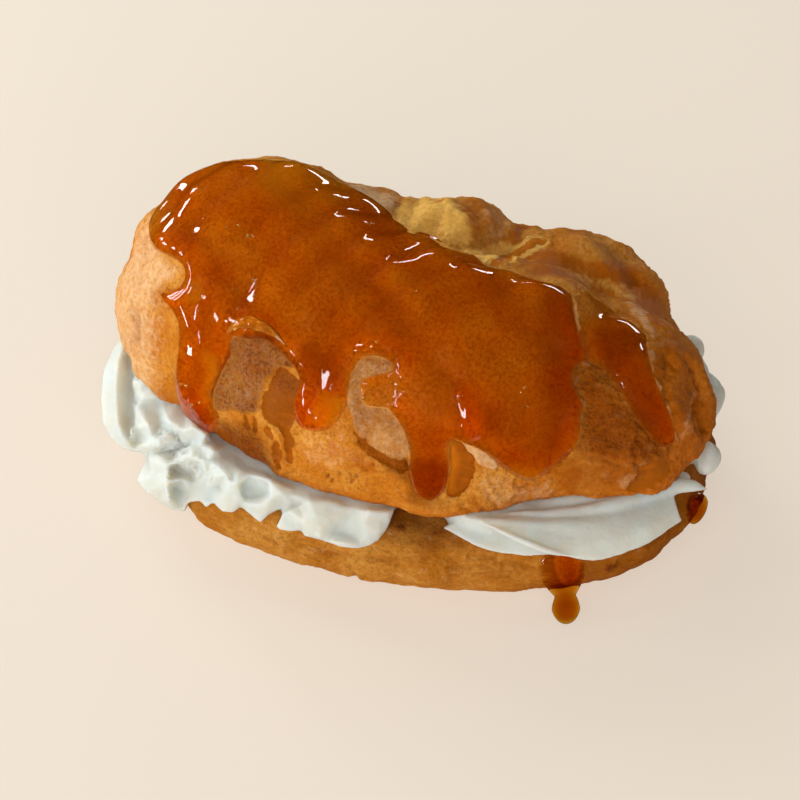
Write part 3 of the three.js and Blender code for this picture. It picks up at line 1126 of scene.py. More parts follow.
    # Painted shade: patches where the crust beneath the caramel is painted darker, along thick edges
    # and shaded sides.
    painted_shades: tuple[Patch, ...] = (
        Patch(((252, 337), (240, 344), (228, 361), (218, 379), (214, 397), (207, 394), (213, 374),
            (223, 355), (236, 339), (252, 329), (270, 331), (287, 346), (303, 370), (298, 376),
            (282, 355), (266, 340)), 0.0, 0.9, 0.8),
        Patch(((412, 458), (446, 458), (448, 480), (440, 500), (424, 502), (412, 488)), 0.0, 0.8,
            2.0),
        Patch(((586, 326), (640, 326), (652, 372), (676, 430), (662, 454), (640, 430), (616, 388)),
            0.0, 0.7, 2.0),
        Patch(((556, 310), (572, 310), (582, 350), (572, 380), (582, 430), (566, 440), (562, 390),
            (556, 350)), 0.0, 0.4, 2.5),
        Patch(((532, 286), (570, 284), (584, 340), (584, 430), (560, 456), (540, 440), (544, 360)),
            0.0, 0.55, 3.0),
        Patch(((280, 270), (330, 262), (400, 268), (420, 310), (400, 360), (350, 350), (300, 340)),
            0.0, 0.34, 6.0),
        Patch(((150, 190), (200, 180), (216, 220), (206, 256), (170, 252), (150, 236)), 0.0, 0.4,
            3.0),
        Patch(((206, 236), (256, 236), (262, 320), (214, 330), (196, 300)), 0.0, 0.26, 4.0),
        Patch(((300, 340), (346, 350), (348, 384), (318, 388), (300, 366)), 0.0, 0.7, 2.5),
        Patch(((196, 405), (216, 412), (216, 428), (204, 430), (194, 420)), 0.0, 0.4, 1.5),
        Patch(((300, 300), (340, 296), (356, 330), (320, 340)), 0.0, 0.25, 4.0),
        Patch(((480, 406), (500, 404), (506, 432), (488, 436)), 0.0, 0.5, 2.0),
    )
    skin: Grain = field(default_factory=lambda: Grain(11))
    points: Array = field(init=False, repr=False)
    normals: Array = field(init=False, repr=False)

    def prepare(self) -> None:
        """Works out the smooth dome that the lid and its caramel share."""
        self.points, self.normals = self.grid()

    def distance(self, points: Array) -> Array:
        """Signed distance to the lid before it is cut flat underneath.

        Args:
            points: Points in space.

        Returns:
            Distances, negative inside.
        """
        total = None
        for centre, radii in self.lobes:
            scaled = (points - np.array(centre, float)) / np.array(radii, float)
            reach = np.linalg.norm(scaled, axis=-1)
            slope = np.linalg.norm(scaled / np.array(radii, float), axis=-1)
            lobe = reach * (reach - 1) / np.maximum(slope, TINY)
            total = lobe if total is None else smooth_min(total, lobe, self.blend)
        for start, end, width, depth in self.hollows:
            total = total + depth * bell(stroke_distance(points, start, end)[1] / width)
        return total - dough_swell(points)

    def grid(self) -> tuple[Array, Array]:
        """Dome of the lid as rings from the top to the cut.

        Returns:
            The rings' points and their unit normals.
        """
        turn = turns(self.columns, FRONT_LEAN)
        flat = np.stack([self.plan[0] * np.cos(turn), self.plan[1] * np.sin(turn), 0 * turn], -1)
        flat = unit(flat)
        up = np.array([0.0, 0.0, 1.0])
        centre = np.array(self.ray_centre)
        cut = np.array([centre[0], centre[1], self.cut_height])
        rim = np.arctan2(self.cut_height - centre[2], ray_length(self.distance, cut, flat))
        share = (np.arange(self.rows) + 1.0) / self.rows
        tilt = math.pi / 2 + (rim[None, :] - math.pi / 2) * share[:, None]
        rays = flat[None] * np.cos(tilt)[..., None] + up * np.sin(tilt)[..., None]
        rays = np.vstack([up[None], rays.reshape(-1, 3)])
        points = centre + rays * ray_length(self.distance, centre, rays)[:, None]
        return points, slopes(self.distance, points)

    def places(self) -> tuple[Array, Array]:
        """Where the dome shows in the picture.

        Returns:
            Picture places with a slight wander, far off where the dome is turned away, and a
            share for each that fades where the dome is seen at a grazing angle.
        """
        facing = self.normals @ SHOT.back
        drift = [sum(swell.at(self.skin, self.points, shift) for swell in self.wander)
                 for shift in self.wander_shifts]
        seen = SHOT.project(self.points) + np.stack(drift, -1)
        seen = np.where((facing > self.grazing[0])[:, None], seen, -FAR)
        return seen, step(facing, *self.grazing)

    def wrinkles(self, rough: Array) -> Array:
        """Heights of the skin's wrinkles, pimples and pores.

        Args:
            rough: How rough the skin is at each point.

        Returns:
            One height for each point.
        """
        wrinkle = 1 - np.abs(self.wrinkle.at(self.skin, self.points))
        height = self.bake.at(self.skin, self.points)
        height += self.wrinkle_height * rough * (wrinkle**3 - 0.5)
        height += rough * self.pimples.at(self.skin, self.points)
        holes, draw = self.skin.cells(self.points, self.pore_spacing)
        porous = step(self.pore_field.at(self.skin, self.points), *self.pore_field_rim)
        porous = porous * (draw > 1 - self.pore_share)
        return height - self.pore_depth * rough * porous * (1 - step(holes, *self.pore_rim))

    def relief(self, coat: Array) -> tuple[Array, dict[str, Array]]:
        """Skin relief and the marks that colour it.

        Args:
            coat: Distance inside the caramel's outline.

        Returns:
            Heights along the normals, and named values for the material.
        """
        x, y, z = self.points.T
        seen, shown = self.places()
        # Among these marks, lit is painted light, steeped painted shade, and brown and amber are
        # partly painted shade.
        pale, gilt, toast, brown, lit, steeped = (
            shown * most_cover(patches, seen) for patches in
            (self.flakes, self.gilts, self.toasts_and_shades, self.scorches_and_shades, self.lights, self.painted_shades))
        bare = step(-coat, *self.coat_fade)
        rough = bare * (1 - self.toast_calm * toast) * (1 + step(x, *self.rough_end))
        height = self.wrinkles(rough)
        for flake in self.flakes:
            height += flake.depth * shown * bare * step(flake.inside(seen), *self.flake_rim)
        stretch = np.full(len(x), BARE)
        lip_height, lip_place, lip_width = self.window_lip
        for window in self.windows:
            inside = window.inside(seen)
            stretch = np.maximum(stretch, inside)
            height = height * (1 - self.window_calm * step(inside, *self.window_calm_rim))
            height -= window.depth * step(inside, *self.window_rim)
            height += lip_height * bell((inside - lip_place) / lip_width)
        # Creases are raised and grooved, and browned with painted shade in their grooves.
        for crease in self.creases:
            height += shown * bare * crease.relief(seen)
            brown = np.maximum(brown, self.crease_shade * shown * crease.groove(seen))
        # Pits are sunk and browned with painted shade.
        for column, row, radius in self.pits:
            away = SHOT.span(np.linalg.norm(seen - np.array([column, row]), axis=-1))
            pit = bell(away / (self.pit_width * radius))
            height -= self.pit_depth * radius * pit
            brown = np.maximum(brown, self.pit_shade * pit)
        # Painted shade: darker amber towards the cut rim.
        rim = 1 - step(z, self.cut_height, self.cut_height + self.rim_shade_height)
        # The left end is paler: pale skin, partly painted light on the side the light comes from.
        left = step(-x, *self.pale_and_lit_end_x) * step(-y, *self.pale_and_lit_end_y)
        right = self.front_toast * step(x, *self.front_toast_x) * step(-y, *self.front_toast_y)
        right = right + self.end_toast * step(x, *self.end_toast_x)
        return height, {"stretch": stretch, "pale": np.maximum(pale, self.pale_and_lit_end * left),
                        "amber": np.max([toast, self.rim_shade * rim, right], axis=0),
                        "gilt": gilt, "brown": brown, "coat": coat, "lit": lit,
                        "steeped": steeped}

    def build(self, coat: "Coat") -> bpy.types.Object:
        """Makes the lid.

        Args:
            coat: The caramel that lies on it, with its outline worked out.

        Returns:
            The lid's object.
        """
        height, marks = self.relief(coat.within)
        made = self.points + self.normals * height[:, None]
        inset = rounded(made[:, 2] - self.cut_height, self.rim_round)
        outward = unit((made - np.array(self.ray_centre)) * np.array([1.0, 1.0, 0.0]))
        made = made - outward * inset[:, None]
        made[-self.columns:, 2] = self.cut_height
        made = np.vstack([made, [[*self.ray_centre[:2], self.cut_height]]])
        marks = {name: np.append(values, values[-1]) for name, values in marks.items()}
        return make_object("choux_lid", made, wrap_faces(self.columns, self.rows), marks)


@dataclass
class Coat:
    """Poured caramel coat: tapering pours minus round bays, with a rounded bead at its edge.

    At the front its edge is drawn after the picture. Films are thin places in it, seams narrow
    gaps, and folds and the lip are raised.
    """

    thickness: float = 1.6
    edge_height: float = 2.3
    edge_width: float = 2.5
    dip: float = 0.7
    dip_width: float = 4.0
    dive: float = 1.2
    blend: float = 3.0
    sink: float = 0.9
    sheet_gap: float = 0.3
    rear_edge_width: float = 2.4
    front: Spot = (-4.0, 6.0)
    facing: Spot = (-0.05, 0.1)
    slack: float = 2.5
    far: float = 8.0
    wander: Swell = Swell(0.5, 6.0, 2)
    flow: Swell = Swell(0.25, 11.0, 2)
    flow_rim: Spot = (0.0, 4.0)
    drop_rim: Spot = (-0.5, 1.5)
    fold_rim: Spot = (0.5, 3.0)
    bubble_grid: tuple[int, int] = (8, 12)
    shown: Patch = Patch((
        (149, 212), (148, 226), (150, 239), (155, 249), (167, 255), (180, 261), (187, 270),
        (185, 282), (176, 290), (160, 291), (167, 302), (176, 312), (180, 325), (180, 345),
        (177, 365), (177, 382), (181, 397), (187, 412), (195, 424), (207, 433), (218, 431),
        (220, 417), (215, 405), (214, 393), (220, 377), (227, 362), (237, 347), (250, 338),
        (265, 338), (276, 347), (286, 357), (298, 370), (303, 384), (297, 396), (294, 410),
        (299, 421), (307, 429), (318, 432), (331, 428), (341, 417), (346, 402), (348, 387),
        (352, 372), (360, 360), (372, 355), (386, 358), (396, 367), (386, 374), (372, 376),
        (361, 380), (360, 393), (365, 405), (377, 407), (388, 407), (397, 419), (406, 434),
        (410, 450), (409, 470), (412, 487), (421, 497), (432, 500), (443, 492), (449, 475),
        (449, 455), (449, 443), (453, 435), (464, 441), (478, 448), (491, 457), (505, 470),
        (517, 478), (530, 481), (541, 475), (553, 466), (566, 458), (576, 448), (581, 434),
        (580, 416), (584, 405), (577, 394), (570, 382), (572, 370), (580, 362), (592, 362),
        (606, 370), (615, 383), (625, 403), (637, 421), (649, 437), (661, 449), (671, 444),
        (675, 430), (666, 405), (656, 385), (650, 365), (648, 345), (645, 325), (637, 313),
        (626, 301), (615, 292), (603, 290), (592, 292), (580, 288), (570, 280), (556, 268),
        (540, 261), (505, 256), (480, 256), (452, 247), (434, 236), (412, 230), (380, 202),
        (360, 186), (345, 166), (300, 145), (240, 145), (180, 160), (155, 190)))
    films: tuple[Patch, ...] = (
        Patch(((374, 384), (398, 372), (405, 388), (392, 405), (366, 403), (362, 384)), 0.0, 0.6,
            1.0),
        Patch(((576, 294), (604, 294), (634, 304), (640, 318), (610, 322), (580, 322)), 0.0, 0.65,
            1.5),
    )
    seams: tuple[Crease, ...] = (
        Crease(((571, 286), (575, 304), (577, 322), (581, 342), (588, 362)), 0.25),
    )
    folds: tuple[Crease, ...] = (
        Crease(((464, 396), (467, 410), (471, 426)), 1.7, 1.8),
        Crease(((560, 300), (566, 330), (572, 360), (576, 400), (578, 430)), 2.2, 0.7),
    )
    lip: tuple[Spot, ...] = (
        (226, 334), (234, 326), (246, 322), (260, 325), (274, 334), (288, 347))
    lip_radii: tuple[float, ...] = (0.3, 1.0, 1.2, 1.0, 0.3)
    bubbles: tuple[Point, ...] = (
        (247, 236, 0.45), (239, 225, 0.3), (253, 236, 0.32), (226, 227, 0.26), (254, 280, 0.36),
        (253, 297, 0.26), (234, 289, 0.24), (238, 308, 0.3), (416, 291, 0.3), (376, 341, 0.3),
        (525, 388, 0.32), (521, 392, 0.28), (527, 407, 0.28), (198, 312, 0.24), (292, 237, 0.22),
        (186, 386, 0.4), (180, 384, 0.34), (192, 404, 0.36), (199, 403, 0.3))
    pours: tuple[tuple, ...] = (
        ((-39, 2, 56.5), (-16, 0, 58), 16.5, 21.0),
        ((-16, 0, 58), (12, -9, 55), 21.0, 16.0),
        ((12, -9, 55), (27, -8, 50), 16.0, 13.5),
        ((-38, -13, 45), (-36.5, -20, 27), 6.5, 3.6),
        ((-10, -20, 49), (-9.3, -26.5, 40.7), 5.5, 5.2),
        ((14, -23, 46), (13.3, -30.3, 30.5), 8.5, 3.6),
        ((27, -16, 45), (29.6, -20.3, 35.7), 9.5, 7.6),
        ((35, 8, 47), (44, 0.5, 44.5), 6.0, 5.2),
        ((44, 0.5, 44.5), (51, -8.8, 36.3), 5.2, 3.8),
        ((10, -20, 48), (1.8, -26.5, 43.5), 6.0, 5.5),
    )
    bays: tuple[tuple, ...] = (
        ((-46.5, -6.5, 49), 4.2),
        ((-23.5, -24, 38.5), 7.6),
    )
    drops: tuple[tuple, ...] = (
        ((-9.6, -26.6, 40.0), 3.4, 1.6),
        ((13.3, -30.3, 31.5), 3.4, 0.7),
        ((-36.5, -19.5, 29.0), 3.2, 0.7),
        ((29.6, -20.5, 36.5), 5.0, 0.4),
        ((51.0, -8.8, 37.0), 3.2, 0.4),
    )
    grain: Grain = field(default_factory=lambda: Grain(23))
    within: Array = field(init=False, repr=False)

    def prepare(self, lid: Lid) -> None:
        """Works out the outline on the lid's dome."""
        self.within = self.inside(lid.points, lid.normals)

    def inside(self, points: Array, normals: Array) -> Array:
        """Distance inside the coat's outline, negative outside it.

        Args:
            points: Points on the lid's surface.
            normals: Its unit normals.

        Returns:
            One distance for each point.
        """
        outside = np.full(len(points), FAR)
        for start, end, first, last in self.pours:
            share, away = stroke_distance(points, start, end)
            outside = smooth_min(outside, away - (first + (last - first) * share), self.blend)
        for centre, radius in self.bays:
            away = np.linalg.norm(points - np.array(centre, float), axis=-1)
            outside = -smooth_min(-outside, away - radius, self.blend)
        poured = -outside + self.wander.at(self.grain, points)
        slack = self.slack * step(-points[:, 1], *self.front)
        seen = SHOT.project(points)
        drawn = np.minimum(np.maximum(self.shown.inside(seen), -self.far), poured + slack)
        for seam in self.seams:
            drawn = np.minimum(drawn, seam.distance(seen) - seam.width)
        return poured + (drawn - poured) * step(normals @ SHOT.back, *self.facing)

    def depth(self, points: Array) -> Array:
        """Height of the caramel's face above the lid, negative outside its outline.

        Args:
            points: Points on the smooth lid.

        Returns:
            One height for each point.
        """
        within = self.within
        front = step(-points[:, 1], *self.front)
        share = np.clip(within / self.edge_width, 0.0, 1.0)
        bead = self.edge_height * np.sqrt(1 - (1 - share) ** 2)
        bead -= self.dip * step(within, self.edge_width, self.edge_width + self.dip_width)
        flowing = self.thickness * np.tanh(within / self.rear_edge_width)
        height = np.where(within > 0, flowing + (bead - flowing) * front, self.dive * within)
        height += step(within, *self.flow_rim) * self.flow.at(self.grain, points)
        for centre, width, swell in self.drops:
            away = np.linalg.norm(points - np.array(centre), axis=-1)
            height += swell * bell(away / width) * step(within, *self.drop_rim)
        seen = SHOT.project(points)
        for fold in self.folds:
            height += fold.depth * fold.groove(seen) * step(within, *self.fold_rim) * front
        keep = np.prod([1 - film.cover(seen) for film in self.films], axis=0)
        return np.where(height > 0, height * keep, height)

    def bubble(self, centre: Array, radius: float) -> Body:
        """A small air bubble in the caramel's face.

        Args:
            centre: Its centre.
            radius: Its radius.

        Returns:
            The bubble's points and faces.
        """
        rows, columns = self.bubble_grid
        tilt = math.pi * np.arange(1, rows) / rows
        turn = turns(columns)
        rings = np.stack([np.outer(np.sin(tilt), np.cos(turn)),
                          np.outer(np.sin(tilt), np.sin(turn)),
                          np.outer(np.cos(tilt), np.ones(columns))], -1).reshape(-1, 3)
        ball = np.vstack([[[0, 0, 1]], rings, [[0, 0, -1]]])
        return centre + ball * radius, wrap_faces(columns, rows - 1)

    def build(self, lid: Lid) -> bpy.types.Object:
        """Makes the coat as a closed shell with its edges sunk into the lid.

        Args:
            lid: The lid that it lies on.

        Returns:
            The coat's object.
        """
        height = self.depth(lid.points)
        outer = lid.points + lid.normals * np.maximum(height, -self.sink)[:, None]
        inner = lid.points - lid.normals * (self.sink + self.sheet_gap)
        faces = [f for f in wrap_faces(lid.columns, lid.rows) if max(f) < len(outer)]
        parts = [shell(outer, inner, [f for f in faces if height[f].max() > -self.sink])]
        seen = SHOT.project(outer)
        shown = lid.normals @ SHOT.back > self.facing[1]

        def under(spot: Spot) -> Array:
            """Point of the caramel's face that is seen at a picture place."""
            off = np.linalg.norm(seen - np.array(spot), axis=-1)
            return outer[np.where(shown, off, FAR).argmin()]

        parts += [self.bubble(under(spot), radius) for *spot, radius in self.bubbles]
        parts.append(Rope(tuple(tuple(under(spot)) for spot in self.lip), self.lip_radii).build())
        return make_object("caramel_glaze", *join(parts))


def shell(outer: Array, inner: Array, faces: list) -> Body:
    """Closes two matching sheets into one body.

    Args:
        outer: Points of the outer sheet.
        inner: Points of the inner sheet, one for each outer point.
        faces: Faces of the outer sheet.

    Returns:
        The body's points and faces.
    """
    used = np.unique(np.concatenate([np.array(f) for f in faces]))
    number = np.full(len(outer), -1)
    number[used] = np.arange(len(used))
    fronts = [number[f].tolist() for f in faces]
    backs = [[i + len(used) for i in reversed(f)] for f in fronts]
    edges = {(a, b) for f in fronts for a, b in zip(f, f[1:] + f[:1])}
    rim = [(a, b) for a, b in edges if (b, a) not in edges]
    walls = [[b, a, a + len(used), b + len(used)] for a, b in sorted(rim)]
    return np.vstack([outer[used], inner[used]]), fronts + backs + walls


@dataclass
class Base:
    """Lower half of the bun: an oval cake with a flat foot and a bulging wrinkled wall.

    Bumps are an angle round the plan, a spread and a share to add to it there, and waves a
    share, a count and a phase. Brown patches are burnt, and wet ones lie under caramel.
    """

    centre_x: float = 3.0
    half: Spot = (58.0, 37.0)
    turn: float = 4.0
    squareness: float = 2.4
    height: float = 17.5
    foot_share: float = 0.78
    rim_share: float = 0.9
    bulge: float = 0.15
    swell_share: float = 0.8
    rim_round: float = 2.2
    foot_round: float = 1.2
    bumps: tuple[Point, ...] = ((2.55, 0.45, 0.09), (-2.65, 0.28, -0.08))
    waves: tuple[Point, ...] = ((0.01, 3, 0.7), (0.008, 7, 0.0))
    layers: tuple[Swell, ...] = (Swell(0.35, (9.0, 9.0, 1.6), 3), Swell(0.35, 6.0, 3),
                                 Swell(0.06, 1.5, 2))
    fold: Swell = Swell(1.0, (7.0, 7.0, 1.5), 2)
    fold_height: float = 0.3
    fold_shift: float = 40.0
    crumb: Swell = Swell(0.5, 3.0, 3)
    # Painted shade: brown painted into the grooves of the wall's creases.
    crease_shade: float = 0.3
    torn_brown: float = 0.5
    torn_depths: Spot = (3.0, 0.5)
    end_brown: float = 0.42
    end_brown_x: Spot = (22.0, 50.0)
    foot_toast: float = 0.7
    foot_toast_height: float = 6.0
    toast: float = 0.25
    end_toast: float = 0.5
    end_toast_x: Spot = (0.0, 50.0)
    # Share of painted shade on the base's crust beneath the caramel drips.
    steeped: float = 0.3
    burns: tuple[Patch, ...] = (
        Patch(((602, 570), (608, 563), (617, 562), (618, 568), (609, 574))),
        Patch(((394, 523), (402, 522), (410, 526), (404, 532), (395, 531))),
        Patch(((428, 526), (436, 524), (446, 529), (444, 535), (432, 533))),
    )
    wet: tuple[Patch, ...] = (
        Patch(((551, 550), (582, 550), (577, 584), (559, 584))),
        Patch(((690, 500), (700, 500), (699, 514), (692, 514))),
    )
    creases: tuple[Crease, ...] = (
        Crease(((300, 546), (340, 556), (390, 560), (430, 558)), 0.5, 0.4, 0.25),
        Crease(((470, 556), (496, 558), (504, 546)), 0.5, 0.45, 0.3),
        Crease(((448, 568), (480, 566), (510, 562), (534, 568)), 0.45, 0.35, 0.25),
        Crease(((450, 576), (486, 574), (520, 572)), 0.45, 0.35, 0.25),
        Crease(((250, 530), (285, 548), (320, 560)), 0.5, 0.3, 0.2),
        Crease(((350, 568), (356, 580)), 0.5, 0.6, 0.2),
        Crease(((620, 562), (640, 550), (660, 534)), 0.6, 0.4, 0.3),
    )
    columns: int = 800
    wall_rows: int = 84
    cap_rows: int = 14
    foot_step: int = 3
    skin: Grain = field(default_factory=lambda: Grain(31))

    def outline(self, turn: Array) -> Array:
        """Plan of the base.

        Args:
            turn: Angles round it.

        Returns:
            Points in its plane, about its centre.
        """
        power = 2 / self.squareness
        cos, sin = np.cos(turn), np.sin(turn)
        x = self.half[0] * np.sign(cos) * np.abs(cos) ** power
        y = self.half[1] * np.sign(sin) * np.abs(sin) ** power
        around = np.arctan2(sin, cos)
        wave = 1 + sum(share * bell((around - angle) / spread)
                       for angle, spread, share in self.bumps)
        for share, count, phase in self.waves:
            wave = wave + share * np.sin(count * turn + phase)
        a = math.radians(self.turn)
        x, y = x * wave, y * wave
        return np.stack([x * math.cos(a) - y * math.sin(a), x * math.sin(a) + y * math.cos(a)], -1)

    def wall(self, turn: Array, drop: Array) -> Array:
        """Points on the wall.

        Args:
            turn: Angles round the base.
            drop: Shares of the way down.

        Returns:
            Points in space.
        """
        share = self.rim_share + (self.foot_share - self.rim_share) * drop
        share = share + self.bulge * np.sin(math.pi * drop)
        flat = self.outline(turn)
        points = np.column_stack([flat * share[:, None], self.height * (1 - drop)])
        points[:, :2] += unit(flat) * (self.swell_share * dough_swell(points))[:, None]
        points[:, 0] += self.centre_x
        return points

    def ring(self, row: int, turn: Array, outward: Array) -> Array:
        """A ring of the wall with its wrinkles and rounded edges.

        Args:
            row: Its number, counted from the rim.
            turn: Angles round the base.
            outward: Directions out of the wall.

        Returns:
            The ring's points.
        """
        ring = self.wall(turn, np.full(self.columns, row / self.wall_rows))
        rise = ring[:, 2]
        inset = rounded(self.height - rise, self.rim_round) + rounded(rise, self.foot_round)
        fold = 1 - np.abs(self.fold.at(self.skin, ring, self.fold_shift))
        height = sum(layer.at(self.skin, ring) for layer in self.layers)
        height = height + self.fold_height * (fold**3 - 0.5) - inset
        return ring + outward * height[:, None]

    def drawn_in(self, ring: Array, row: int) -> Array:
        """A ring drawn in towards the centre, to a row of a cap."""
        centre = np.array([self.centre_x, 0.0, 0.0])
        return centre + (ring - centre) * np.array([row / self.cap_rows] * 2 + [1.0])

    def marks(self, points: Array, seen: Array) -> dict[str, Array]:
        """Values that colour the base.

        Args:
            points: Its points.
            seen: Their picture places.

        Returns:
            Named values for the material.
        """
        x, _, z = points.T
        empty = np.zeros(len(points))
        torn = step(z, *(self.height - depth for depth in self.torn_depths))
        foot = 1 - step(z, 0.0, self.foot_toast_height)
        toast = self.toast + self.end_toast * step(x, *self.end_toast_x)
        # Creases are browned with painted shade.
        grooves = [self.crease_shade * crease.groove(seen) for crease in self.creases]
        brown = np.max([*grooves, most_cover(self.burns, seen), self.torn_brown * torn,
                        self.end_brown * step(x, *self.end_brown_x)], axis=0)
        wet = np.max([patch.inside(seen) for patch in self.wet], axis=0)
        # The base gets no painted light; under its drips it gets painted shade.
        return {"stretch": empty + BARE, "pale": empty, "gilt": empty, "lit": empty,
                "steeped": empty + self.steeped, "brown": brown, "coat": np.maximum(BARE, wet),
                "amber": np.maximum(self.foot_toast * foot, toast)}

    def build(self) -> bpy.types.Object:
        """Makes the base.

        Returns:
            The base's object.
        """
        turn = turns(self.columns, FRONT_LEAN)
        outward = np.column_stack([unit(self.outline(turn)), 0 * turn])
        walls = [self.ring(row, turn, outward) for row in range(self.wall_rows + 1)]
        tops = [self.drawn_in(walls[0], row) for row in range(1, self.cap_rows)]
        for ring in tops:
            ring[:, 2] = self.height - self.crumb.height + self.crumb.at(self.skin, ring)
        feet = [self.drawn_in(walls[-1], row)
                for row in range(self.cap_rows - 1, 0, -self.foot_step)]
        rows = tops + walls + feet
        middle = self.centre_x, 0.0
        points = np.vstack([[[*middle, self.height]], *rows, [[*middle, 0.0]]])
        wall = np.vstack([[[0, 0, 1.0]], np.tile(outward, (len(rows), 1)), [[0, 0, -1.0]]])
        seen = np.where((wall @ SHOT.back > 0.0)[:, None], SHOT.project(points), -FAR)
        for crease in self.creases:
            points += wall * crease.relief(seen)[:, None]
        faces = wrap_faces(self.columns, len(rows))
        return make_object("choux_base", points, faces, self.marks(points, seen))


@dataclass(frozen=True)
class Rope:
    """A stroke of cream or caramel: a path with half widths, a height share and ridges."""

    path: tuple[Point, ...]
    radii: tuple[float, ...]
    height: float | tuple[float, ...] = 1.0
    ridges: int = 0
    depth: float = 0.0
    facing: Point = (0.0, 0.0, 1.0)
    columns: int = 72
    spacing: float = 0.6
    least_rows: int = 12
    blunt: float = 0.4
    nudge: float = 1e-3

    def build(self) -> Body:
        """Sweeps the stroke.

        Returns:
            Its points and faces.
        """
        length = np.linalg.norm(np.diff(np.array(self.path), axis=0), axis=-1).sum()
        rows = max(int(length / self.spacing), self.least_rows)
        share = np.arange(rows + 1) / rows
        middle = spline(self.path, share)
        ahead = unit(spline(self.path, share + self.nudge) - spline(self.path, share - self.nudge))
        side = unit(np.cross(ahead, np.array(self.facing)))
        top = np.cross(side, ahead)
        turn = turns(self.columns)
        ridge = 1 - self.depth * (1 - np.abs(np.sin(self.ridges * turn / 2)))
        width = along(self.radii, share) * np.sin(math.pi * share) ** self.blunt
        tall = width * along(np.atleast_1d(self.height), share)
        across = (width[:, None] * ridge * np.cos(turn))[..., None] * side[:, None]
        upward = (tall[:, None] * ridge * np.sin(turn))[..., None] * top[:, None]
        rings = (middle[:, None] + across + upward)[1:-1]
        points = np.vstack([middle[:1], rings.reshape(-1, 3), middle[-1:]])
        return points, wrap_faces(self.columns, rows - 1)


@dataclass(frozen=True)
class Tear:
    """A torn or smeared face of cream: a folded sheet through picture places, filled behind."""

    border: tuple[Point, ...]
    folds: tuple[Point, ...]
    bold: float = 1.8
    reach: float = 18.0
    thickness: float = 4.5

    def build(self) -> Body:
        """Stretches and fills the sheet.

        Returns:
            Its points and faces.
        """
        places = self.border + self.folds
        ring = list(range(len(self.border)))
        edges = list(zip(ring, ring[1:] + ring[:1]))
        flat = [Vector(place[:2]) for place in places]
        spots, _, faces, origins, _, _ = delaunay_2d_cdt(flat, edges, [ring], 1, 1e-5)
        drawn = np.array(places)
        away = np.linalg.norm(drawn[:, None, :2] - drawn[None, :, :2], axis=-1)
        weight = bell(away / self.reach)
        level = weight @ drawn[:, 2] / weight.sum(1)
        drawn[len(ring):, 2] += ((self.bold - 1) * (drawn[:, 2] - level))[len(ring):]
        outer = np.array(seen_at(*((spot.x, spot.y, drawn[old[0], 2])
                                   for spot, old in zip(spots, origins))))
        return shell(outer, outer - self.thickness * SHOT.back, [list(face) for face in faces])


@dataclass(frozen=True)
class Scoop:
    """A smooth smear of cream: a curved sheet through rows of points, filled behind."""

    rows: tuple[tuple[Point, ...], ...]
    thickness: float = 5.0
    fine: int = 48

    def build(self) -> Body:
        """Fills the sheet.

        Returns:
            Its points and faces.
        """
        n = self.fine
        share = np.linspace(0.0, 1.0, n)
        across = [spline(row, share) for row in self.rows]
        outer = np.stack([spline([row[k] for row in across], share) for k in range(n)], 1)
        outer = outer.reshape(-1, 3)
        place = np.arange(n * n).reshape(n, n)
        corners = [place[:-1, :-1], place[1:, :-1], place[1:, 1:], place[:-1, 1:]]
        faces = np.stack(corners, -1).reshape(-1, 4).tolist()
        return shell(outer, outer - self.thickness * SHOT.back, faces)


def join(parts: list[Body]) -> Body:
    """Puts several meshes into one.

    Args:
        parts: Points and faces of each.

    Returns:
        All points and faces.
    """
    points, faces, start = [], [], 0
    for part, part_faces in parts:
        points.append(part)
        faces += [[i + start for i in f] for f in part_faces]
        start += len(part)
    return np.vstack(points), faces


def remesh(piece: bpy.types.Object, voxel: float) -> Array:
    """Melts overlapping bodies into one skin.

    Args:
        piece: The object to remesh.
        voxel: Size of a voxel in millimetres.

    Returns:
        The new points in millimetres.
    """
    change = piece.modifiers.new("melt", "REMESH")
    change.mode = "VOXEL"
    change.voxel_size = voxel * MM
    change.use_smooth_shade = True
    shape = bpy.context.evaluated_depsgraph_get()
    mesh = bpy.data.meshes.new_from_object(piece.evaluated_get(shape))
    piece.modifiers.clear()
    piece.data = mesh
    return vectors_of(mesh.vertices, "co") / MM


def vectors_of(things: bpy.types.bpy_prop_collection, name: str) -> Array:
    """A vector of each thing in a mesh's list.

    Args:
        things: Vertices or normals of a mesh.
        name: Name of the vector.

    Returns:
        One row for each thing.
    """
    flat = np.empty(len(things) * 3)
    things.foreach_get(name, flat)
    return flat.reshape(-1, 3)


def move_points(mesh: bpy.types.Mesh, points: Array) -> None:
    """Moves a mesh's vertices to points in millimetres."""
    mesh.vertices.foreach_set("co", (points * MM).ravel())
    mesh.update()


def soften(mesh: bpy.types.Mesh, points: Array, rounds: int) -> Array:
    """Draws each vertex towards its neighbours.

    Args:
        mesh: The mesh.
        points: Its vertices in millimetres.
        rounds: Number of passes.

    Returns:
        The softened vertices, which the mesh is given too.
    """
    ends = np.empty(len(mesh.edges) * 2, int)
    mesh.edges.foreach_get("vertices", ends)
    a, b = ends.reshape(-1, 2).T
    n = len(points)
    count = np.maximum(np.bincount(np.append(a, b), minlength=n), 1)
    for _ in range(rounds):
        total = np.stack([np.bincount(a, points[b, k], n) + np.bincount(b, points[a, k], n)
                          for k in range(3)], -1)
        points = 0.5 * points + 0.5 * total / count[:, None]
    move_points(mesh, points)
    return points


